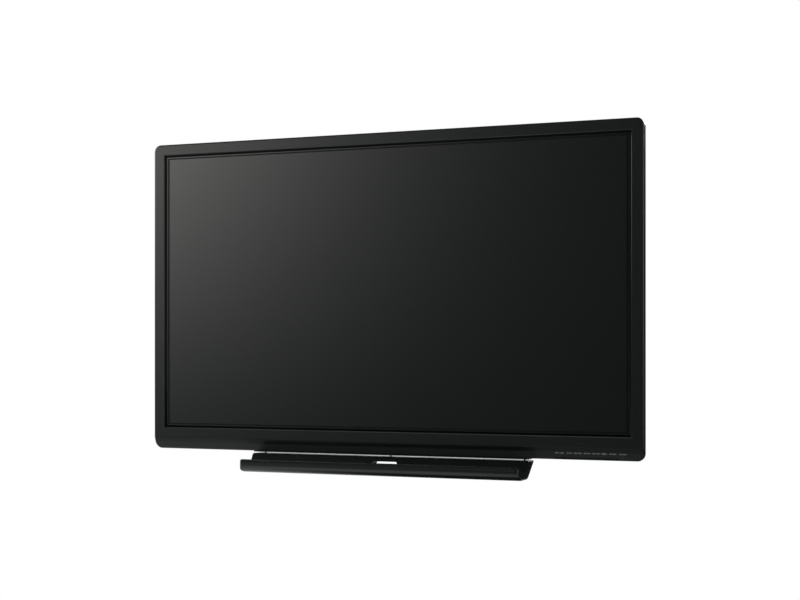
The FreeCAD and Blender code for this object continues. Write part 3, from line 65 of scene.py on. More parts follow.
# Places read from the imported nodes
BEZEL_LO, BEZEL_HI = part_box("front_bezel")
GLASS_LO, GLASS_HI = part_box("protective_glass")
COVER_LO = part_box("rear_cover")[0]
HOUSING_LO, HOUSING_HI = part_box("electronics_housing")

# Printed border on the glass
PICTURE_W, PICTURE_H = 1.322, 0.7436
PICTURE_Z = (GLASS_LO.z + GLASS_HI.z) / 2
GLASS_CLEAR = 0.0094      # glass hidden under the filter strip, each side
BORDER_MARGIN = 0.0024    # clear glass between the filter strip and the printed border
BORDER_PROUD = 0.00004    # in front of the glass
BORDER_SUNK = 0.00002     # inside the glass

# Front bezel's leaning skirt with its paler tone of painted reflection, and the dark line of painted shade in
# the crease above it
SKIRT_H = 0.0312
SKIRT_TILT = 18.0
# The skirt's paler tone is a painted reflection
SKIRT_REFLECTION_TONE = (0.0145, 0.0160, 0.0160)
SKIRT_REFLECTION_FADE = (0.006, 0.016)           # from this far to this far below the skirt's top
SKIRT_REFLECTION_SHARES = (0.8, 1.0)            # least and full share of the paler tone
# Painted shade: a dark line in the crease, only where the tray sits below
CREASE_SHADE_TONE = (0.0022, 0.0025, 0.0025)
CREASE_SHADE_DROP = 0.005                   # middle of the line below the skirt's top
CREASE_SHADE_HALF = (0.009, 0.003)          # from nothing to full, up and down from its middle
CREASE_SHADE_REACH = (0.44, 0.38)           # from nothing to full, to either side

# Marks above the keys: middle along X, width over both dashes, sign between them
MARKS = (
    (0.4874, 0.022, "bar"), (0.5137, 0.013, "left"), (0.5360, 0.020, "right"), (0.5602, 0.017, "down"),
    (0.5829, 0.020, "up"), (0.6043, 0.014, "square"), (0.6268, 0.018, "ring"), (0.6525, 0.018, "dot"),
)
MARK_HEIGHT = 0.0172      # above the bezel's lower edge
MARK_T = 0.00005
SIGN_HALF = 0.0024
SIGN_SPACE = 0.0062       # left free between the dashes
DASH_H, DASH_R = 0.0032, 0.0012
CORNER_STEPS, SQUARE_STEPS, DOT_STEPS = 3, 2, 6      # of a rounded corner
BAR_W, BAR_R = 0.0011, 0.0005
SQUARE_R = 0.0003
DOT_SIZE, DOT_R = 1.6, 0.79           # shares of SIGN_HALF
RING_HOLE = 0.6                       # share of SIGN_HALF
ARROW_R = 1.15                        # share of SIGN_HALF
ARROW_CORNERS = (0, 128, 232)         # of an arrow that points to the right
ARROW_TURNS = {"left": 180, "right": 0, "up": 90, "down": -90}

# Screws of the rear cover and of the housing; their places are shares of the size unless marked
SCREW_R, SCREW_H = 0.0040, 0.0022
SCREW_SPIN = 0.7                      # radians from one screw's cross to the next one's
SCREW_STEPS = 40
SCREW_RINGS = (0.0, 0.12, 0.17, 0.24, 0.40, 0.56, 0.62, 0.70, 0.86, 0.96, 1.0)
SCREW_DOME = 0.45                     # share of the height lost at the rim
CROSS_ARM, CROSS_WIDTH = 0.62, 0.17   # shares of the radius
CROSS_DEPTH, CROSS_SLOPE = 0.55, 0.5  # share of the height at the middle, share of that lost at the rim
COVER_SCREW_INSET = 0.0095
COVER_BRIM_T = 0.0015
COVER_TOP_XS = (-0.42, -0.14, 0.14, 0.42)
COVER_BOTTOM_XS = (-0.45, -0.15, 0.15, 0.3)
COVER_SIDE_ZS = (-0.3, 0.0, 0.3)
FLANGE_T, FLANGE_W = 0.0015, 0.010
FLANGE_TOP_XS = (-0.88, -0.53, -0.18, 0.18, 0.53, 0.88)
FLANGE_BOTTOM_XS = (-0.40, -0.05, 0.30, 0.65)
FLANGE_LEFT_ZS = (-0.19, -0.02, 0.15)     # metres
FLANGE_RIGHT_ZS = (0.11, 0.20)            # metres

# Bolts of the tray brackets
BOLT_FLATS, BOLT_H = 0.010, 0.0055
BOLT_FOOT = 0.0012                    # the head's lower end, sunk in the washer
BOLT_CHAMFER_H, BOLT_CHAMFER_R = 0.86, 0.87          # shares of the head's height and radius
WASHER_R, WASHER_EDGE_H, WASHER_T = 0.0065, 0.0010, 0.0014
WASHER_TOP_R = 0.93                   # share of the washer's radius
BOLT_XS = (-0.016, 0.016)             # from the bracket's middle
BOLT_DROPS = (0.018, 0.052)           # below the bracket's top

# Spacers between the bezel's underside and the tray's bar
PAD_HALF = 0.008
SPACER_R, SPACER_WAIST_R = 0.0029, 0.0018
SPACER_RIM_H, SPACER_TAPER_H = 0.0007, 0.0012
SMALL_SMOOTH = 35                     # edges steeper than this stay hard on small parts

# What glossy parts show: 1 is the white backdrop
DARK = 0.02               # black cloth
FLOOR_LEFT = 0.45
FLOOR_NEAR = 0.93
FLOOR_MIDDLE = 0.10
FLOOR_PATCH = 0.5
OVERHEAD = 1.3
RIGHT_CARD = 1.7
LEFT_CARD = 0.18
WINDOW = (-38.0, 12.0, 6.0, 6.4)      # azimuth, elevation, width, strength of the soft glow
AMBIENT = 0.70
COOL = (0.93, 1.0, 0.975)             # tint of weak reflections
WARM = (1.0, 0.985, 0.93)             # tint of the glow
WARM_RANGE = (0.4, 3.4)               # strengths of the glow between which the tint turns warm

# Lit parts of the floor: each fades in from the first place to the second along its axis
LEFT_X, LEFT_Y = (0.2, -1.6), (-4.0, -2.2)
NEAR_X, NEAR_Y = (0.5, -0.1), (-1.15, -0.65)
MIDDLE_Y = (-3.2, -1.9)
PATCH_LEFT, PATCH_RIGHT = (-1.1, -0.7), (0.7, 0.4)
PATCH_FRONT, PATCH_BACK = (-5.0, -4.0), (-2.2, -2.8)
UNDER_X, UNDER_Y = (-0.5, -1.0), (-0.12, -0.35)      # nothing is lit right under the object
BEHIND_X, BEHIND_Y = (1.2, 0.2), (1.0, 3.0)

# Cards in the surroundings: the same, along the parts of the direction looked in
BACKDROP_X, BACKDROP_Y = (0.0, -0.25), (0.2, 0.6)
OVERHEAD_Y, OVERHEAD_Z = (0.16, 0.06), (0.6, 0.8)
RIGHT_X, RIGHT_Y = (0.5, 0.8), (0.45, 0.1)
LEFT_CARD_X = (-0.75, -0.95)

# Floor and lamps
FLOOR_Z = -1.45
FLOOR_SIZE = 60
FLOOR_TONE, FLOOR_ROUGH = 0.8, 0.9
FLOOR_WHITE = (1.2, 3.6)              # distances between which the floor turns plain white
SOFTBOXES = (                         # name, place, point aimed at, size, watts
    ("key_softbox", (-4.9, -2.3, 1.7), (0, 0, 0.1), (2.2, 2.4), 120),
    ("rear_softbox", (1.5, 4.0, 2.2), (0, 0, 0), (2.5, 2.0), 110),
)

# Materials. Noise lies between 0 and 1, mostly between the two values of NOISE_RANGE.
NOISE_RANGE = (0.25, 0.75)
MARKS_RANGE = (0.2, 0.8)
COLOUR_STOPS = (0.3, 0.7)
SLOW_SCALE = 6.0                      # slow change of tone over a part
REFLECTION_PATCH_RANGE, REFLECTION_PATCH_SCALE = (0.3, 0.7), 22.0      # uneven patches of the skirt's paler tone, a painted reflection
GRAIN_DETAIL, GRAIN_STRENGTH = 2.0, 0.35
WIPE_TURN, WIPE_SCALE = 24, (6.0, 60.0, 260.0)
WIPE_NOISE = (3.0, 4.0, 0.6)          # scale, detail, roughness
BRUSH_SCALE, BRUSH_NOISE = (4.0, 90.0, 90.0), (8.0, 4.0)
BRUSH_DARK, BRUSH_ROUGH = 0.85, (-0.06, 0.08)        # share of the tone, change of the roughness
BOARD_SCALE, BOARD_LINE, BOARD_ROUGH = 90.0, 0.03, 0.4
BOARD_GREEN, BOARD_GREEN_2 = (0.012, 0.09, 0.035), (0.010, 0.075, 0.03)
BOARD_TRACK = (0.03, 0.16, 0.06)
GLASS_DARK, GLASS_LIGHT = (0.0048, 0.0057, 0.0056), (0.0055, 0.0064, 0.0063)
GLASS_SLOW, GLASS_ROUGH, GLASS_SPECULAR = 2.5, (0.205, 0.235), 0.6
SPARKLE_SCALE, SPARKLE_DETAIL, SPARKLE_STRENGTH, SPARKLE_DEPTH = 2500.0, 1.0, 0.15, 0.00002
GLOSS_SPECULAR = 0.4
GLOSS = ((0.0076, 0.0088, 0.0090), (0.0086, 0.0098, 0.0100), (0.22, 0.27), 900, 0.00002)


def grey(tone):
    return (tone, tone, tone)


# Slot: material, dark tone, light tone, roughness range, grain scale, grain depth, specular level
GRAINED = {
    "key_plastic": ("key_gloss", *GLOSS, GLOSS_SPECULAR),
    "filter_plastic": ("filter_tint", grey(0.0010), grey(0.0018), (0.10, 0.14), 500, 0.00001, 0.09),
    "gasket_rubber": ("gasket_rubber", grey(0.01), grey(0.02), (0.7, 0.8), 700, 0.0001),
    "cell_glass": ("cell_glass", (0.02, 0.02, 0.025), (0.03, 0.03, 0.035), (0.08, 0.12), 300, 0.00001),
    "white_plastic": ("white_plastic", (0.7, 0.7, 0.68), (0.76, 0.76, 0.74), (0.5, 0.6), 800, 0.00005),
    "clear_acrylic": ("clear_acrylic", (0.7, 0.74, 0.78), (0.76, 0.8, 0.84), (0.05, 0.1), 300, 0.00001),
    "film_plastic": ("film_plastic", grey(0.8), grey(0.85), (0.4, 0.5), 400, 0.00001),
    "cover_paint": ("cover_paint", (0.020, 0.020, 0.0205), (0.026, 0.026, 0.0265), (0.42, 0.55),
                    1600, 0.00012),
    "black_plastic": ("black_plastic", grey(0.012), grey(0.017), (0.4, 0.5), 1200, 0.00006),
    "rocker_plastic": ("rocker_plastic", grey(0.012), grey(0.016), (0.15, 0.2), 600, 0.00001),
    "lens_plastic": ("lens_plastic", (0.05, 0.052, 0.052), (0.06, 0.062, 0.062), (0.08, 0.12),
                     600, 0.00001),
    "tray_plastic": ("tray_plastic", (0.0035, 0.0042, 0.0042), (0.0043, 0.0050, 0.0050), (0.24, 0.30),
                     1400, 0.00003),
    "bar_paint": ("bar_paint", grey(0.010), grey(0.014), (0.4, 0.5), 1200, 0.00006),
}
# Slot, which is also the material's name: tone, roughness
BRUSHED = {
    "aluminium_section": ((0.62, 0.63, 0.64), 0.35),
    "zinc_steel": ((0.55, 0.56, 0.58), 0.32),
}
# Inks, as in GRAINED
BORDER_INK = ("border_ink", (0.0028, 0.0030, 0.0029), (0.0036, 0.0038, 0.0037), (0.32, 0.38),
              1800, 0.00001, 0.12)
MARK_INK = ("mark_ink", (0.105, 0.112, 0.112), (0.130, 0.137, 0.137), (0.5, 0.6), 2200, 0.00001)


# Node trees
class Tree:
    """Node tree of a material or of the world.

    A method that adds a node returns its output socket. An operand is a socket, a number or a colour.
    """

    def __init__(self, tree):
        self.nodes = tree.nodes
        self.links = tree.links

    def feed(self, operand, socket):
        if isinstance(operand, bpy.types.NodeSocket):
            self.links.new(operand, socket)
        else:
            socket.default_value = operand

    def maths(self, operation, *operands):
        node = self.nodes.new("ShaderNodeMath")
        node.operation = operation
        for operand, socket in zip(operands, node.inputs):
            self.feed(operand, socket)
        return node.outputs[0]

    def times(self, first, *others):
        for other in others:
            first = self.maths("MULTIPLY", first, other)
        return first

    def largest(self, first, *others):
        for other in others:
            first = self.maths("MAXIMUM", first, other)
        return first

    def coords(self, kind="Object"):
        return self.nodes.new("ShaderNodeTexCoord").outputs[kind]

    def split(self, vector):
        """X, Y and Z of a vector."""
        node = self.nodes.new("ShaderNodeSeparateXYZ")
        self.links.new(vector, node.inputs["Vector"])
        return node.outputs

    def stretched(self, vector, scale, turn=0.0):
        """The vector, turned round Y and scaled."""
        node = self.nodes.new("ShaderNodeMapping")
        node.inputs["Rotation"].default_value = (0.0, math.radians(turn), 0.0)
        node.inputs["Scale"].default_value = scale
        self.links.new(vector, node.inputs["Vector"])
        return node.outputs["Vector"]

    def noise(self, vector, scale, detail=3.0, roughness=0.5):
        node = self.nodes.new("ShaderNodeTexNoise")
        node.inputs["Scale"].default_value = scale
        node.inputs["Detail"].default_value = detail
        node.inputs["Roughness"].default_value = roughness
        self.links.new(vector, node.inputs["Vector"])
        return node.outputs["Fac"]

    def ramp(self, source, limits, results=(0.0, 1.0), smooth=False):
        """The source mapped from the limits to the results, and held there outside."""
        node = self.nodes.new("ShaderNodeMapRange")
        if smooth:
            node.interpolation_type = "SMOOTHSTEP"
        for name, value in zip(("From Min", "From Max", "To Min", "To Max"), (*limits, *results)):
            node.inputs[name].default_value = value
        self.links.new(source, node.inputs["Value"])
        return node.outputs["Result"]

    def fade(self, source, limits, full=1.0):
        """Soft rise from 0 at the first limit to full at the second."""
        return self.ramp(source, limits, (0.0, full), smooth=True)

    def two_tone(self, source, first, second):
        """Runs from the first colour to the second as the source rises."""
        node = self.nodes.new("ShaderNodeValToRGB")
        for element, stop, colour in zip(node.color_ramp.elements, COLOUR_STOPS, (first, second)):
            element.position = stop
            element.color = (*colour, 1)
        self.links.new(source, node.inputs["Fac"])
        return node.outputs["Color"]

    def mixed(self, share, first, second, kind="RGBA"):
        """The first operand where the share is 0, the second where it is 1."""
        node = self.nodes.new("ShaderNodeMix")
        node.data_type = kind
        self.links.new(share, node.inputs["Factor"])
        self.feed(first, node.inputs["A"])
        self.feed(second, node.inputs["B"])
        return node.outputs["Result"]

    def mixed_shader(self, share, first, second):
        node = self.nodes.new("ShaderNodeMixShader")
        for operand, socket in zip((share, first, second), node.inputs):
            self.links.new(operand, socket)
        return node.outputs["Shader"]

    def emission(self, strength=1.0, colour=(1, 1, 1)):
        node = self.nodes.new("ShaderNodeEmission")
        node.inputs["Color"].default_value = (*colour, 1)
        self.feed(strength, node.inputs["Strength"])
        return node.outputs["Emission"]

    def wipe_marks(self, vector):
        """Faint cleaning marks: long thin streaks in one slanted direction."""
        return self.noise(self.stretched(vector, WIPE_SCALE, WIPE_TURN), *WIPE_NOISE)

    def bump(self, shader, source, strength, distance):
        node = self.nodes.new("ShaderNodeBump")
        node.inputs["Strength"].default_value = strength
        node.inputs["Distance"].default_value = distance
        self.links.new(source, node.inputs["Height"])
        self.links.new(node.outputs["Normal"], shader.inputs["Normal"])

    def kinds_of_ray(self):
        """Two sockets: 1 for rays from the camera or through glass, and 1 for reflected rays."""
        path = self.nodes.new("ShaderNodeLightPath")
        seen = self.largest(path.outputs["Is Camera Ray"], path.outputs["Is Transmission Ray"])
        return seen, path.outputs["Is Glossy Ray"]


def material(name):
    """New material, with its tree and its Principled shader."""
    made = bpy.data.materials.new(name)
    made.use_nodes = True
    return made, Tree(made.node_tree), made.node_tree.nodes["Principled BSDF"]


# Finishes
def grained(name, dark, light, rough, grain, depth, specular=0.5):
    """Moulded or painted surface: fine grain in the bump, slow change of tone and of roughness."""
    made, tree, shader = material(name)
    coords = tree.coords()
    slow = tree.noise(coords, SLOW_SCALE)
    tree.feed(tree.two_tone(slow, dark, light), shader.inputs["Base Color"])
    tree.feed(tree.ramp(slow, NOISE_RANGE, rough), shader.inputs["Roughness"])
    tree.bump(shader, tree.noise(coords, grain, GRAIN_DETAIL), GRAIN_STRENGTH, depth)
    shader.inputs["Specular IOR Level"].default_value = specular
    return made


def brushed(name, tone, rough):
    """Zinc-plated or brushed metal, with marks drawn out along one axis."""
    made, tree, shader = material(name)
    marks = tree.noise(tree.stretched(tree.coords(), BRUSH_SCALE), *BRUSH_NOISE)
    dark = tuple(t * BRUSH_DARK for t in tone)
    tree.feed(tree.two_tone(marks, dark, tone), shader.inputs["Base Color"])
    rough_range = [rough + change for change in BRUSH_ROUGH]
    tree.feed(tree.ramp(marks, MARKS_RANGE, rough_range), shader.inputs["Roughness"])
    shader.inputs["Metallic"].default_value = 1.0
    return made


def circuit_board():
    """Green solder mask over faint copper lines."""
    made, tree, shader = material("circuit_board")
    lines = tree.nodes.new("ShaderNodeTexBrick")
    lines.inputs["Scale"].default_value = BOARD_SCALE
    lines.inputs["Mortar Size"].default_value = BOARD_LINE
    lines.inputs["Color1"].default_value = (*BOARD_GREEN, 1)
    lines.inputs["Color2"].default_value = (*BOARD_GREEN_2, 1)
    lines.inputs["Mortar"].default_value = (*BOARD_TRACK, 1)
    tree.feed(tree.coords(), lines.inputs["Vector"])
    tree.feed(lines.outputs["Color"], shader.inputs["Base Color"])
    shader.inputs["Roughness"].default_value = BOARD_ROUGH
    return made


def screen_glass():
    """Etched anti-glare glass over the dark panel: wide soft sheen with a very fine sparkle."""
    made, tree, shader = material("screen_glass")
    coords = tree.coords()
    slow = tree.noise(coords, GLASS_SLOW)
    tree.feed(tree.two_tone(slow, GLASS_DARK, GLASS_LIGHT), shader.inputs["Base Color"])
    tree.feed(tree.ramp(tree.wipe_marks(coords), NOISE_RANGE, GLASS_ROUGH), shader.inputs["Roughness"])
    tree.bump(shader, tree.noise(coords, SPARKLE_SCALE, SPARKLE_DETAIL), SPARKLE_STRENGTH, SPARKLE_DEPTH)
    shader.inputs["Specular IOR Level"].default_value = GLASS_SPECULAR
    return made


def bezel_gloss(dark, light, rough, grain, depth):
    """Gloss moulding of the bezel: its leaning skirt is a little paler, a painted reflection, and its crease
    is darker over the tray, a painted shade line.
    """
    made, tree, shader = material("bezel_gloss")
    coords = tree.coords()
    slow = tree.noise(coords, SLOW_SCALE)
    x, _, z = tree.split(coords)
    top = BEZEL_LO.z + SKIRT_H
    # Painted reflection: paler tone on the skirt, in uneven patches
    painted_reflection = tree.times(tree.fade(z, [top - drop for drop in SKIRT_REFLECTION_FADE]),
                      tree.ramp(tree.noise(coords, REFLECTION_PATCH_SCALE), REFLECTION_PATCH_RANGE, SKIRT_REFLECTION_SHARES))
    # Painted shade: darker line along the crease, over the tray only
    off = tree.maths("ABSOLUTE", tree.maths("SUBTRACT", z, top - CREASE_SHADE_DROP))
    crease = tree.times(tree.fade(off, CREASE_SHADE_HALF), tree.fade(tree.maths("ABSOLUTE", x), CREASE_SHADE_REACH))
    tone = tree.mixed(painted_reflection, tree.two_tone(slow, dark, light), (*SKIRT_REFLECTION_TONE, 1))
    tree.feed(tree.mixed(crease, tone, (*CREASE_SHADE_TONE, 1)), shader.inputs["Base Color"])
    tree.feed(tree.ramp(tree.wipe_marks(coords), NOISE_RANGE, rough), shader.inputs["Roughness"])
    tree.bump(shader, tree.noise(coords, grain, GRAIN_DETAIL), GRAIN_STRENGTH, depth)
    shader.inputs["Specular IOR Level"].default_value = GLOSS_SPECULAR
    return made


def make_looks():
    """Material of every slot."""
    looks = {
        "bezel_plastic": bezel_gloss(*GLOSS),
        "screen_glass": screen_glass(),
        "circuit_board": circuit_board(),
    }
    looks.update((slot, grained(*finish)) for slot, finish in GRAINED.items())
    looks.update((slot, brushed(slot, *finish)) for slot, finish in BRUSHED.items())
    return looks


def dress(looks):
    """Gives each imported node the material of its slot."""
    for part in frame["record"]["subparts"]:
        node = NODES[part["node"]]
        node.data.materials.clear()
        node.data.materials.append(looks[part["material_slot"]])


# Light and camera
def floor_material():
    """Pale floor that takes the object's shadow near it and runs out to plain white."""
    made, tree, shader = material("studio_floor")
    shader.inputs["Base Color"].default_value = (*grey(FLOOR_TONE), 1)
    shader.inputs["Roughness"].default_value = FLOOR_ROUGH
    coords = tree.coords()
    x, y, _ = tree.split(coords)
    distance = tree.nodes.new("ShaderNodeVectorMath")
    distance.operation = "LENGTH"
    tree.feed(coords, distance.inputs[0])
    far = tree.ramp(distance.outputs["Value"], FLOOR_WHITE)
    seen, glossy = tree.kinds_of_ray()
    plain = tree.mixed_shader(tree.times(seen, far), shader.outputs["BSDF"], tree.emission())

    # Glossy parts show black cloth in front, with lit parts
    left = tree.times(tree.fade(x, LEFT_X, FLOOR_LEFT), tree.fade(y, LEFT_Y))
    near = tree.times(tree.fade(y, NEAR_Y, FLOOR_NEAR), tree.fade(x, NEAR_X))
    middle = tree.fade(y, MIDDLE_Y, FLOOR_MIDDLE)
    patch = tree.times(tree.fade(x, PATCH_LEFT, FLOOR_PATCH), tree.fade(x, PATCH_RIGHT),
                       tree.fade(y, PATCH_FRONT), tree.fade(y, PATCH_BACK))
    clear = tree.largest(tree.fade(y, UNDER_Y), tree.fade(x, UNDER_X))
    front = tree.times(tree.largest(left, near, middle, patch), clear)
    behind = tree.times(tree.fade(y, BEHIND_Y), tree.fade(x, BEHIND_X))
    shown = tree.emission(tree.maths("ADD", tree.largest(front, behind), DARK), COOL)
    tree.feed(tree.mixed_shader(glossy, plain, shown), tree.nodes["Material Output"].inputs["Surface"])
    return made


def glow(tree, direction, azimuth, elevation, width, strength):
    """Soft round source seen in one direction; the azimuth runs from -Y towards +X."""
    turn, lift = math.radians(azimuth), math.radians(elevation)
    dot = tree.nodes.new("ShaderNodeVectorMath")
    dot.operation = "DOT_PRODUCT"
    tree.feed(direction, dot.inputs[0])
    dot.inputs[1].default_value = (math.sin(turn) * math.cos(lift), -math.cos(turn) * math.cos(lift),
                                   math.sin(lift))
    steepness = 1 / math.radians(width) ** 2
    falling = tree.times(tree.maths("SUBTRACT", dot.outputs["Value"], 1.0), steepness)
    return tree.times(tree.maths("EXPONENT", falling), strength)


def surroundings():
    """Even white light, and the backdrop and cards that only glossy parts show."""
    world = bpy.data.worlds.new("studio")
    bpy.context.scene.world = world
    world.use_nodes = True
    tree = Tree(world.node_tree)
    tree.nodes.clear()
    direction = tree.coords("Generated")
    x, y, z = tree.split(direction)
    backdrop = tree.times(tree.fade(y, BACKDROP_Y), tree.fade(x, BACKDROP_X))
    overhead = tree.times(tree.fade(z, OVERHEAD_Z, OVERHEAD), tree.fade(tree.maths("ABSOLUTE", y), OVERHEAD_Y))
    right = tree.times(tree.fade(x, RIGHT_X, RIGHT_CARD), tree.fade(y, RIGHT_Y))
    left = tree.fade(x, LEFT_CARD_X, LEFT_CARD)
    window = glow(tree, direction, *WINDOW)
    cards = tree.largest(backdrop, overhead, right, left, window)
    seen, glossy = tree.kinds_of_ray()
    plain = tree.maths("ADD", tree.times(seen, 1.0 - AMBIENT), AMBIENT)
    tint = tree.two_tone(tree.ramp(window, WARM_RANGE), COOL, WARM)
    light = tree.nodes.new("ShaderNodeBackground")
    tree.feed(tree.mixed(glossy, (1, 1, 1, 1), tint), light.inputs["Color"])
    tree.feed(tree.mixed(glossy, plain, tree.maths("ADD", cards, DARK), "FLOAT"), light.inputs["Strength"])
    out = tree.nodes.new("ShaderNodeOutputWorld")
    tree.feed(light.outputs["Background"], out.inputs["Surface"])


def softbox(name, place, target, size, watts):
    """Rectangular lamp aimed at a point."""
    data = bpy.data.lights.new(name, "AREA")
    data.shape = "RECTANGLE"
    data.size, data.size_y = size
    data.energy = watts
    lamp = bpy.data.objects.new(name, data)
    lamp.location = place
    lamp.rotation_euler = (Vector(target) - Vector(place)).to_track_quat("-Z", "Y").to_euler()
    bpy.context.collection.objects.link(lamp)


def studio():
    """Surroundings, floor and lamps."""
    surroundings()
    bpy.ops.mesh.primitive_plane_add(size=FLOOR_SIZE, location=(0, 0, FLOOR_Z))
    floor = bpy.context.object
    floor.name = "studio_floor"
    floor.data.materials.append(floor_material())
    for box in SOFTBOXES:
        softbox(*box)


def camera():
    """Level camera, shifted to where the photograph's horizon is."""
    data = bpy.data.cameras.new("camera")
    data.sensor_width = SENSOR
    data.lens = FOCAL_PX / IMAGE_W * SENSOR
    data.shift_x = SHIFT_PX / IMAGE_W
    data.shift_y = (HORIZON_Y - IMAGE_H / 2) / IMAGE_W
    data.clip_end = CLIP_END
    made = bpy.data.objects.new("camera", data)
    made.location = CAMERA_AT
    made.rotation_euler = (math.radians(90), 0, math.radians(CAMERA_YAW))
    bpy.context.collection.objects.link(made)
    bpy.context.scene.camera = made


# Mesh helpers
def finish_piece(name, shape, look, body="display"):
    """Turns a bmesh into a piece that rides on a body and wears the given material."""
    mesh = bpy.data.meshes.new(name)
    bmesh.ops.recalc_face_normals(shape, faces=shape.faces)
    shape.to_mesh(mesh)
    shape.free()
    piece = bpy.data.objects.new(name, mesh)
    mesh.materials.append(look)
    bpy.context.collection.objects.link(piece)
    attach(piece, body)
    return piece


def smooth(piece):
    """Smooth shading that leaves steep edges hard."""
    for face in piece.data.polygons:
        face.use_smooth = True
    bpy.context.view_layer.objects.active = piece
    piece.select_set(True)
    bpy.ops.object.shade_auto_smooth(angle=math.radians(SMALL_SMOOTH))
    piece.select_set(False)


def frame_at(place, axis, up=(0, 0, 1)):
    """Matrix that takes local +Z to the axis and local +Y near the given up direction."""
    z = Vector(axis).normalized()
    y = Vector(up) - Vector(up).dot(z) * z
    y.normalize()
    x = y.cross(z)
    turn = Matrix((x, y, z)).transposed().to_4x4()
    return Matrix.Translation(Vector(place)) @ turn


def circle(shape, matrix, r, h, steps):
    """Corners of a regular polygon on the matrix's plane, or one corner where r is 0."""
    if r == 0:
        return [shape.verts.new(matrix @ Vector((0, 0, h)))]
    angles = [2 * math.pi * k / steps for k in range(steps)]
    return [shape.verts.new(matrix @ Vector((r * math.cos(a), r * math.sin(a), h))) for a in angles]


def bridge(shape, low, high):
    """Faces between two loops; either may be a single corner."""
    steps = max(len(low), len(high))
    for k in range(steps):
        n = (k + 1) % steps
        if len(low) == 1:
            shape.faces.new((low[0], high[n], high[k]))
        elif len(high) == 1:
            shape.faces.new((low[k], low[n], high[0]))
        else:
            shape.faces.new((low[k], low[n], high[n], high[k]))


def lathe(shape, profile, place, axis, steps=24):
    """Revolves (radius, height) points round the axis; a first or last radius of 0 closes the end."""
    upright = abs(Vector(axis).normalized().z) > 0.9
    matrix = frame_at(place, axis, (1, 0, 0) if upright else (0, 0, 1))
    rings = [circle(shape, matrix, r, h, steps) for r, h in profile]
    for low, high in zip(rings, rings[1:]):
        bridge(shape, low, high)


def plate(shape, outline, matrix, thickness):
    """Thin flat prism: (u, v) outline on the matrix's plane, raised along its +Z."""
    low, high = [[shape.verts.new(matrix @ Vector((u, v, h))) for u, v in outline] for h in (0, thickness)]
    shape.faces.new(high)
    shape.faces.new(list(reversed(low)))
    bridge(shape, low, high)


def ring_plate(shape, outer, inner, matrix, thickness, steps=28):
    """Thin flat ring on the matrix's plane, raised along its +Z."""
    corners = ((outer, 0), (outer, thickness), (inner, thickness), (inner, 0))
    loops = [circle(shape, matrix, r, h, steps) for r, h in corners]
    for low, high in zip(loops, loops[1:] + loops[:1]):
        bridge(shape, low, high)


def rounded(cx, w, h, r, steps):
    """Outline of a rectangle with rounded corners, its middle at (cx, 0)."""
    points = []
    for sx, sy, start in ((1, 1, 0), (-1, 1, 90), (-1, -1, 180), (1, -1, 270)):
        for k in range(steps + 1):
            angle = math.radians(start + 90 * k / steps)
            points.append((cx + sx * (w / 2 - r) + r * math.cos(angle),
                           sy * (h / 2 - r) + r * math.sin(angle)))
    return points


# Fasteners
def cross_screw(shape, place, axis, spin):
    """Domed screw head with a cross recess, seated at the place."""
    matrix = frame_at(place, axis) @ Matrix.Rotation(spin, 4, "Z")
    rings = []
    for share in SCREW_RINGS:
        ring = []
        for k in range(SCREW_STEPS if share else 1):
            angle = 2 * math.pi * k / SCREW_STEPS
            u, v = share * math.cos(angle), share * math.sin(angle)
            top = SCREW_H * (1.0 - SCREW_DOME * share ** 3)
            in_cross = max(abs(u), abs(v)) < CROSS_ARM and min(abs(u), abs(v)) < CROSS_WIDTH
            if in_cross:
                top -= SCREW_H * CROSS_DEPTH * (1.0 - CROSS_SLOPE * share)
            ring.append(shape.verts.new(matrix @ Vector((u * SCREW_R, v * SCREW_R, top))))
        rings.append(ring)
    rings.append(circle(shape, matrix, SCREW_R, 0, SCREW_STEPS))
    shape.faces.new(rings[-1])
    for low, high in zip(rings, rings[1:]):
        bridge(shape, low, high)


def hex_bolt(shape, place, axis):
    """Hexagon head with a chamfered top on a round washer."""
    lathe(shape, [(0, 0), (WASHER_R, 0), (WASHER_R, WASHER_EDGE_H), (WASHER_R * WASHER_TOP_R, WASHER_T),
                  (0, WASHER_T)], place, axis)
    matrix = frame_at(place, axis)
    r = BOLT_FLATS / math.sqrt(3)
    levels = ((r, BOLT_FOOT), (r, BOLT_H * BOLT_CHAMFER_H), (r * BOLT_CHAMFER_R, BOLT_H))
    rings = [circle(shape, matrix, size, h, steps=6) for size, h in levels]
    for low, high in zip(rings, rings[1:]):
        bridge(shape, low, high)
    shape.faces.new(rings[-1])
    shape.faces.new(rings[0])


# Front details
def printed_border(look):
    """Black printing on the glass between the picture and the filter strip."""
    shape = bmesh.new()
    hidden = GLASS_CLEAR + BORDER_MARGIN
    outer = (GLASS_HI.x - hidden, (GLASS_HI.z - GLASS_LO.z) / 2 - hidden)
    inner = (PICTURE_W / 2, PICTURE_H / 2)
    front_out, front_in, back_out, back_in = [
        [shape.verts.new((sx * w, y, PICTURE_Z + sz * h)) for sx, sz in ((-1, -1), (1, -1), (1, 1), (-1, 1))]
        for y in (GLASS_LO.y - BORDER_PROUD, GLASS_LO.y + BORDER_SUNK) for w, h in (outer, inner)]
    bridge(shape, front_out, front_in)
    bridge(shape, back_out, back_in)
    bridge(shape, front_out, back_out)
    bridge(shape, front_in, back_in)
    finish_piece("printed_border", shape, look)


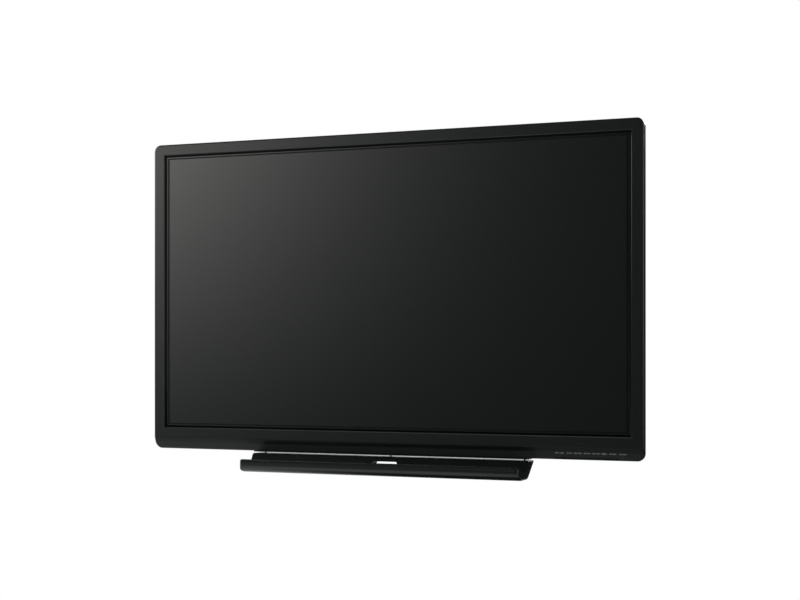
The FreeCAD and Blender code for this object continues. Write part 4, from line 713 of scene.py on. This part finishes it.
def sign_mark(shape, sign, matrix):
    """One small sign, twice SIGN_HALF high."""
    tall = 2 * SIGN_HALF
    if sign == "bar":
        plate(shape, rounded(0, BAR_W, tall, BAR_R, CORNER_STEPS), matrix, MARK_T)
    elif sign == "square":
        plate(shape, rounded(0, tall, tall, SQUARE_R, SQUARE_STEPS), matrix, MARK_T)
    elif sign == "dot":
        size = DOT_SIZE * SIGN_HALF
        plate(shape, rounded(0, size, size, DOT_R * SIGN_HALF, DOT_STEPS), matrix, MARK_T)
    elif sign == "ring":
        ring_plate(shape, SIGN_HALF, RING_HOLE * SIGN_HALF, matrix, MARK_T)
    else:
        r = SIGN_HALF * ARROW_R
        angles = [math.radians(angle + ARROW_TURNS[sign]) for angle in ARROW_CORNERS]
        plate(shape, [(r * math.cos(a), r * math.sin(a)) for a in angles], matrix, MARK_T)


def key_marks(look):
    """A small plain sign between two dashes above each key and above the lamp."""
    tilt = math.radians(SKIRT_TILT)
    normal = (0, -math.cos(tilt), -math.sin(tilt))
    y = BEZEL_LO.y + (SKIRT_H - MARK_HEIGHT) * math.tan(tilt)
    shape = bmesh.new()
    for x, w, sign in MARKS:
        matrix = frame_at((x, y, BEZEL_LO.z + MARK_HEIGHT), normal)
        dash = (w - SIGN_SPACE) / 2
        for side in (-1, 1):
            outline = rounded(side * (w - dash) / 2, dash, DASH_H, DASH_R, CORNER_STEPS)
            plate(shape, outline, matrix, MARK_T)
        sign_mark(shape, sign, matrix)
    finish_piece("key_marks", shape, look)


# Back details
def cover_screw_places():
    """Centres (x, z) of the screws through the rear cover's brim."""
    w, h = BEZEL_HI.x * 2, BEZEL_HI.z * 2
    x, z = w / 2 - COVER_SCREW_INSET, h / 2 - COVER_SCREW_INSET
    places = [(w * share, z) for share in COVER_TOP_XS]
    places += [(w * share, -z) for share in COVER_BOTTOM_XS]
    places += [(side * x, h * share) for side in (-1, 1) for share in COVER_SIDE_ZS]
    return places


def flange_screw_places():
    """Centres (x, z) of the screws through the housing's flange, clear of its two bays."""
    low, high, half = HOUSING_LO, HOUSING_HI, FLANGE_W / 2
    places = [(high.x * share, high.z - half) for share in FLANGE_TOP_XS]
    places += [(high.x * share, low.z + half) for share in FLANGE_BOTTOM_XS]
    places += [(low.x + half, z) for z in FLANGE_LEFT_ZS]
    places += [(high.x - half, z) for z in FLANGE_RIGHT_ZS]
    return places


def back_screws(look):
    """Cross-recessed screws round the rear cover and round the electronics housing."""
    shape = bmesh.new()
    spots = [(x, COVER_LO.y + COVER_BRIM_T, z) for x, z in cover_screw_places()]
    spots += [(x, HOUSING_LO.y + FLANGE_T, z) for x, z in flange_screw_places()]
    for k, spot in enumerate(spots):
        cross_screw(shape, spot, (0, 1, 0), SCREW_SPIN * k)
    piece = finish_piece("back_screws", shape, look)
    smooth(piece)


def bracket_bolts(look):
    """Four hexagon bolts with washers on each tray bracket's upright."""
    shape = bmesh.new()
    for node in ("tray_bracket_left", "tray_bracket_right"):
        low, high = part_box(node)
        middle = (low.x + high.x) / 2
        for dx in BOLT_XS:
            for drop in BOLT_DROPS:
                hex_bolt(shape, (middle + dx, high.y, high.z - drop), (0, 1, 0))
    piece = finish_piece("bracket_bolts", shape, look)
    smooth(piece)


def tray_spacers(look):
    """Three waisted nylon spacers between the bezel's underside and the tray's bar."""
    low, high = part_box("tray_pads")
    half = (high.x - low.x) / 2 - PAD_HALF
    tall = high.z - low.z
    lower = [(0, 0), (SPACER_R, 0), (SPACER_R, SPACER_RIM_H), (SPACER_WAIST_R, SPACER_TAPER_H)]
    profile = lower + [(r, tall - h) for r, h in reversed(lower)]
    shape = bmesh.new()
    for x in (-half, 0, half):
        lathe(shape, profile, ((low.x + high.x) / 2 + x, (low.y + high.y) / 2, low.z), (0, 0, 1))
    piece = finish_piece("tray_spacers", shape, look)
    smooth(piece)
    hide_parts("tray_pads")


camera()
studio()
looks = make_looks()
dress(looks)
printed_border(grained(*BORDER_INK))
key_marks(grained(*MARK_INK))
back_screws(looks["zinc_steel"])
bracket_bolts(looks["zinc_steel"])
tray_spacers(looks["white_plastic"])

scene = bpy.context.scene
scene.view_settings.view_transform = "Standard"
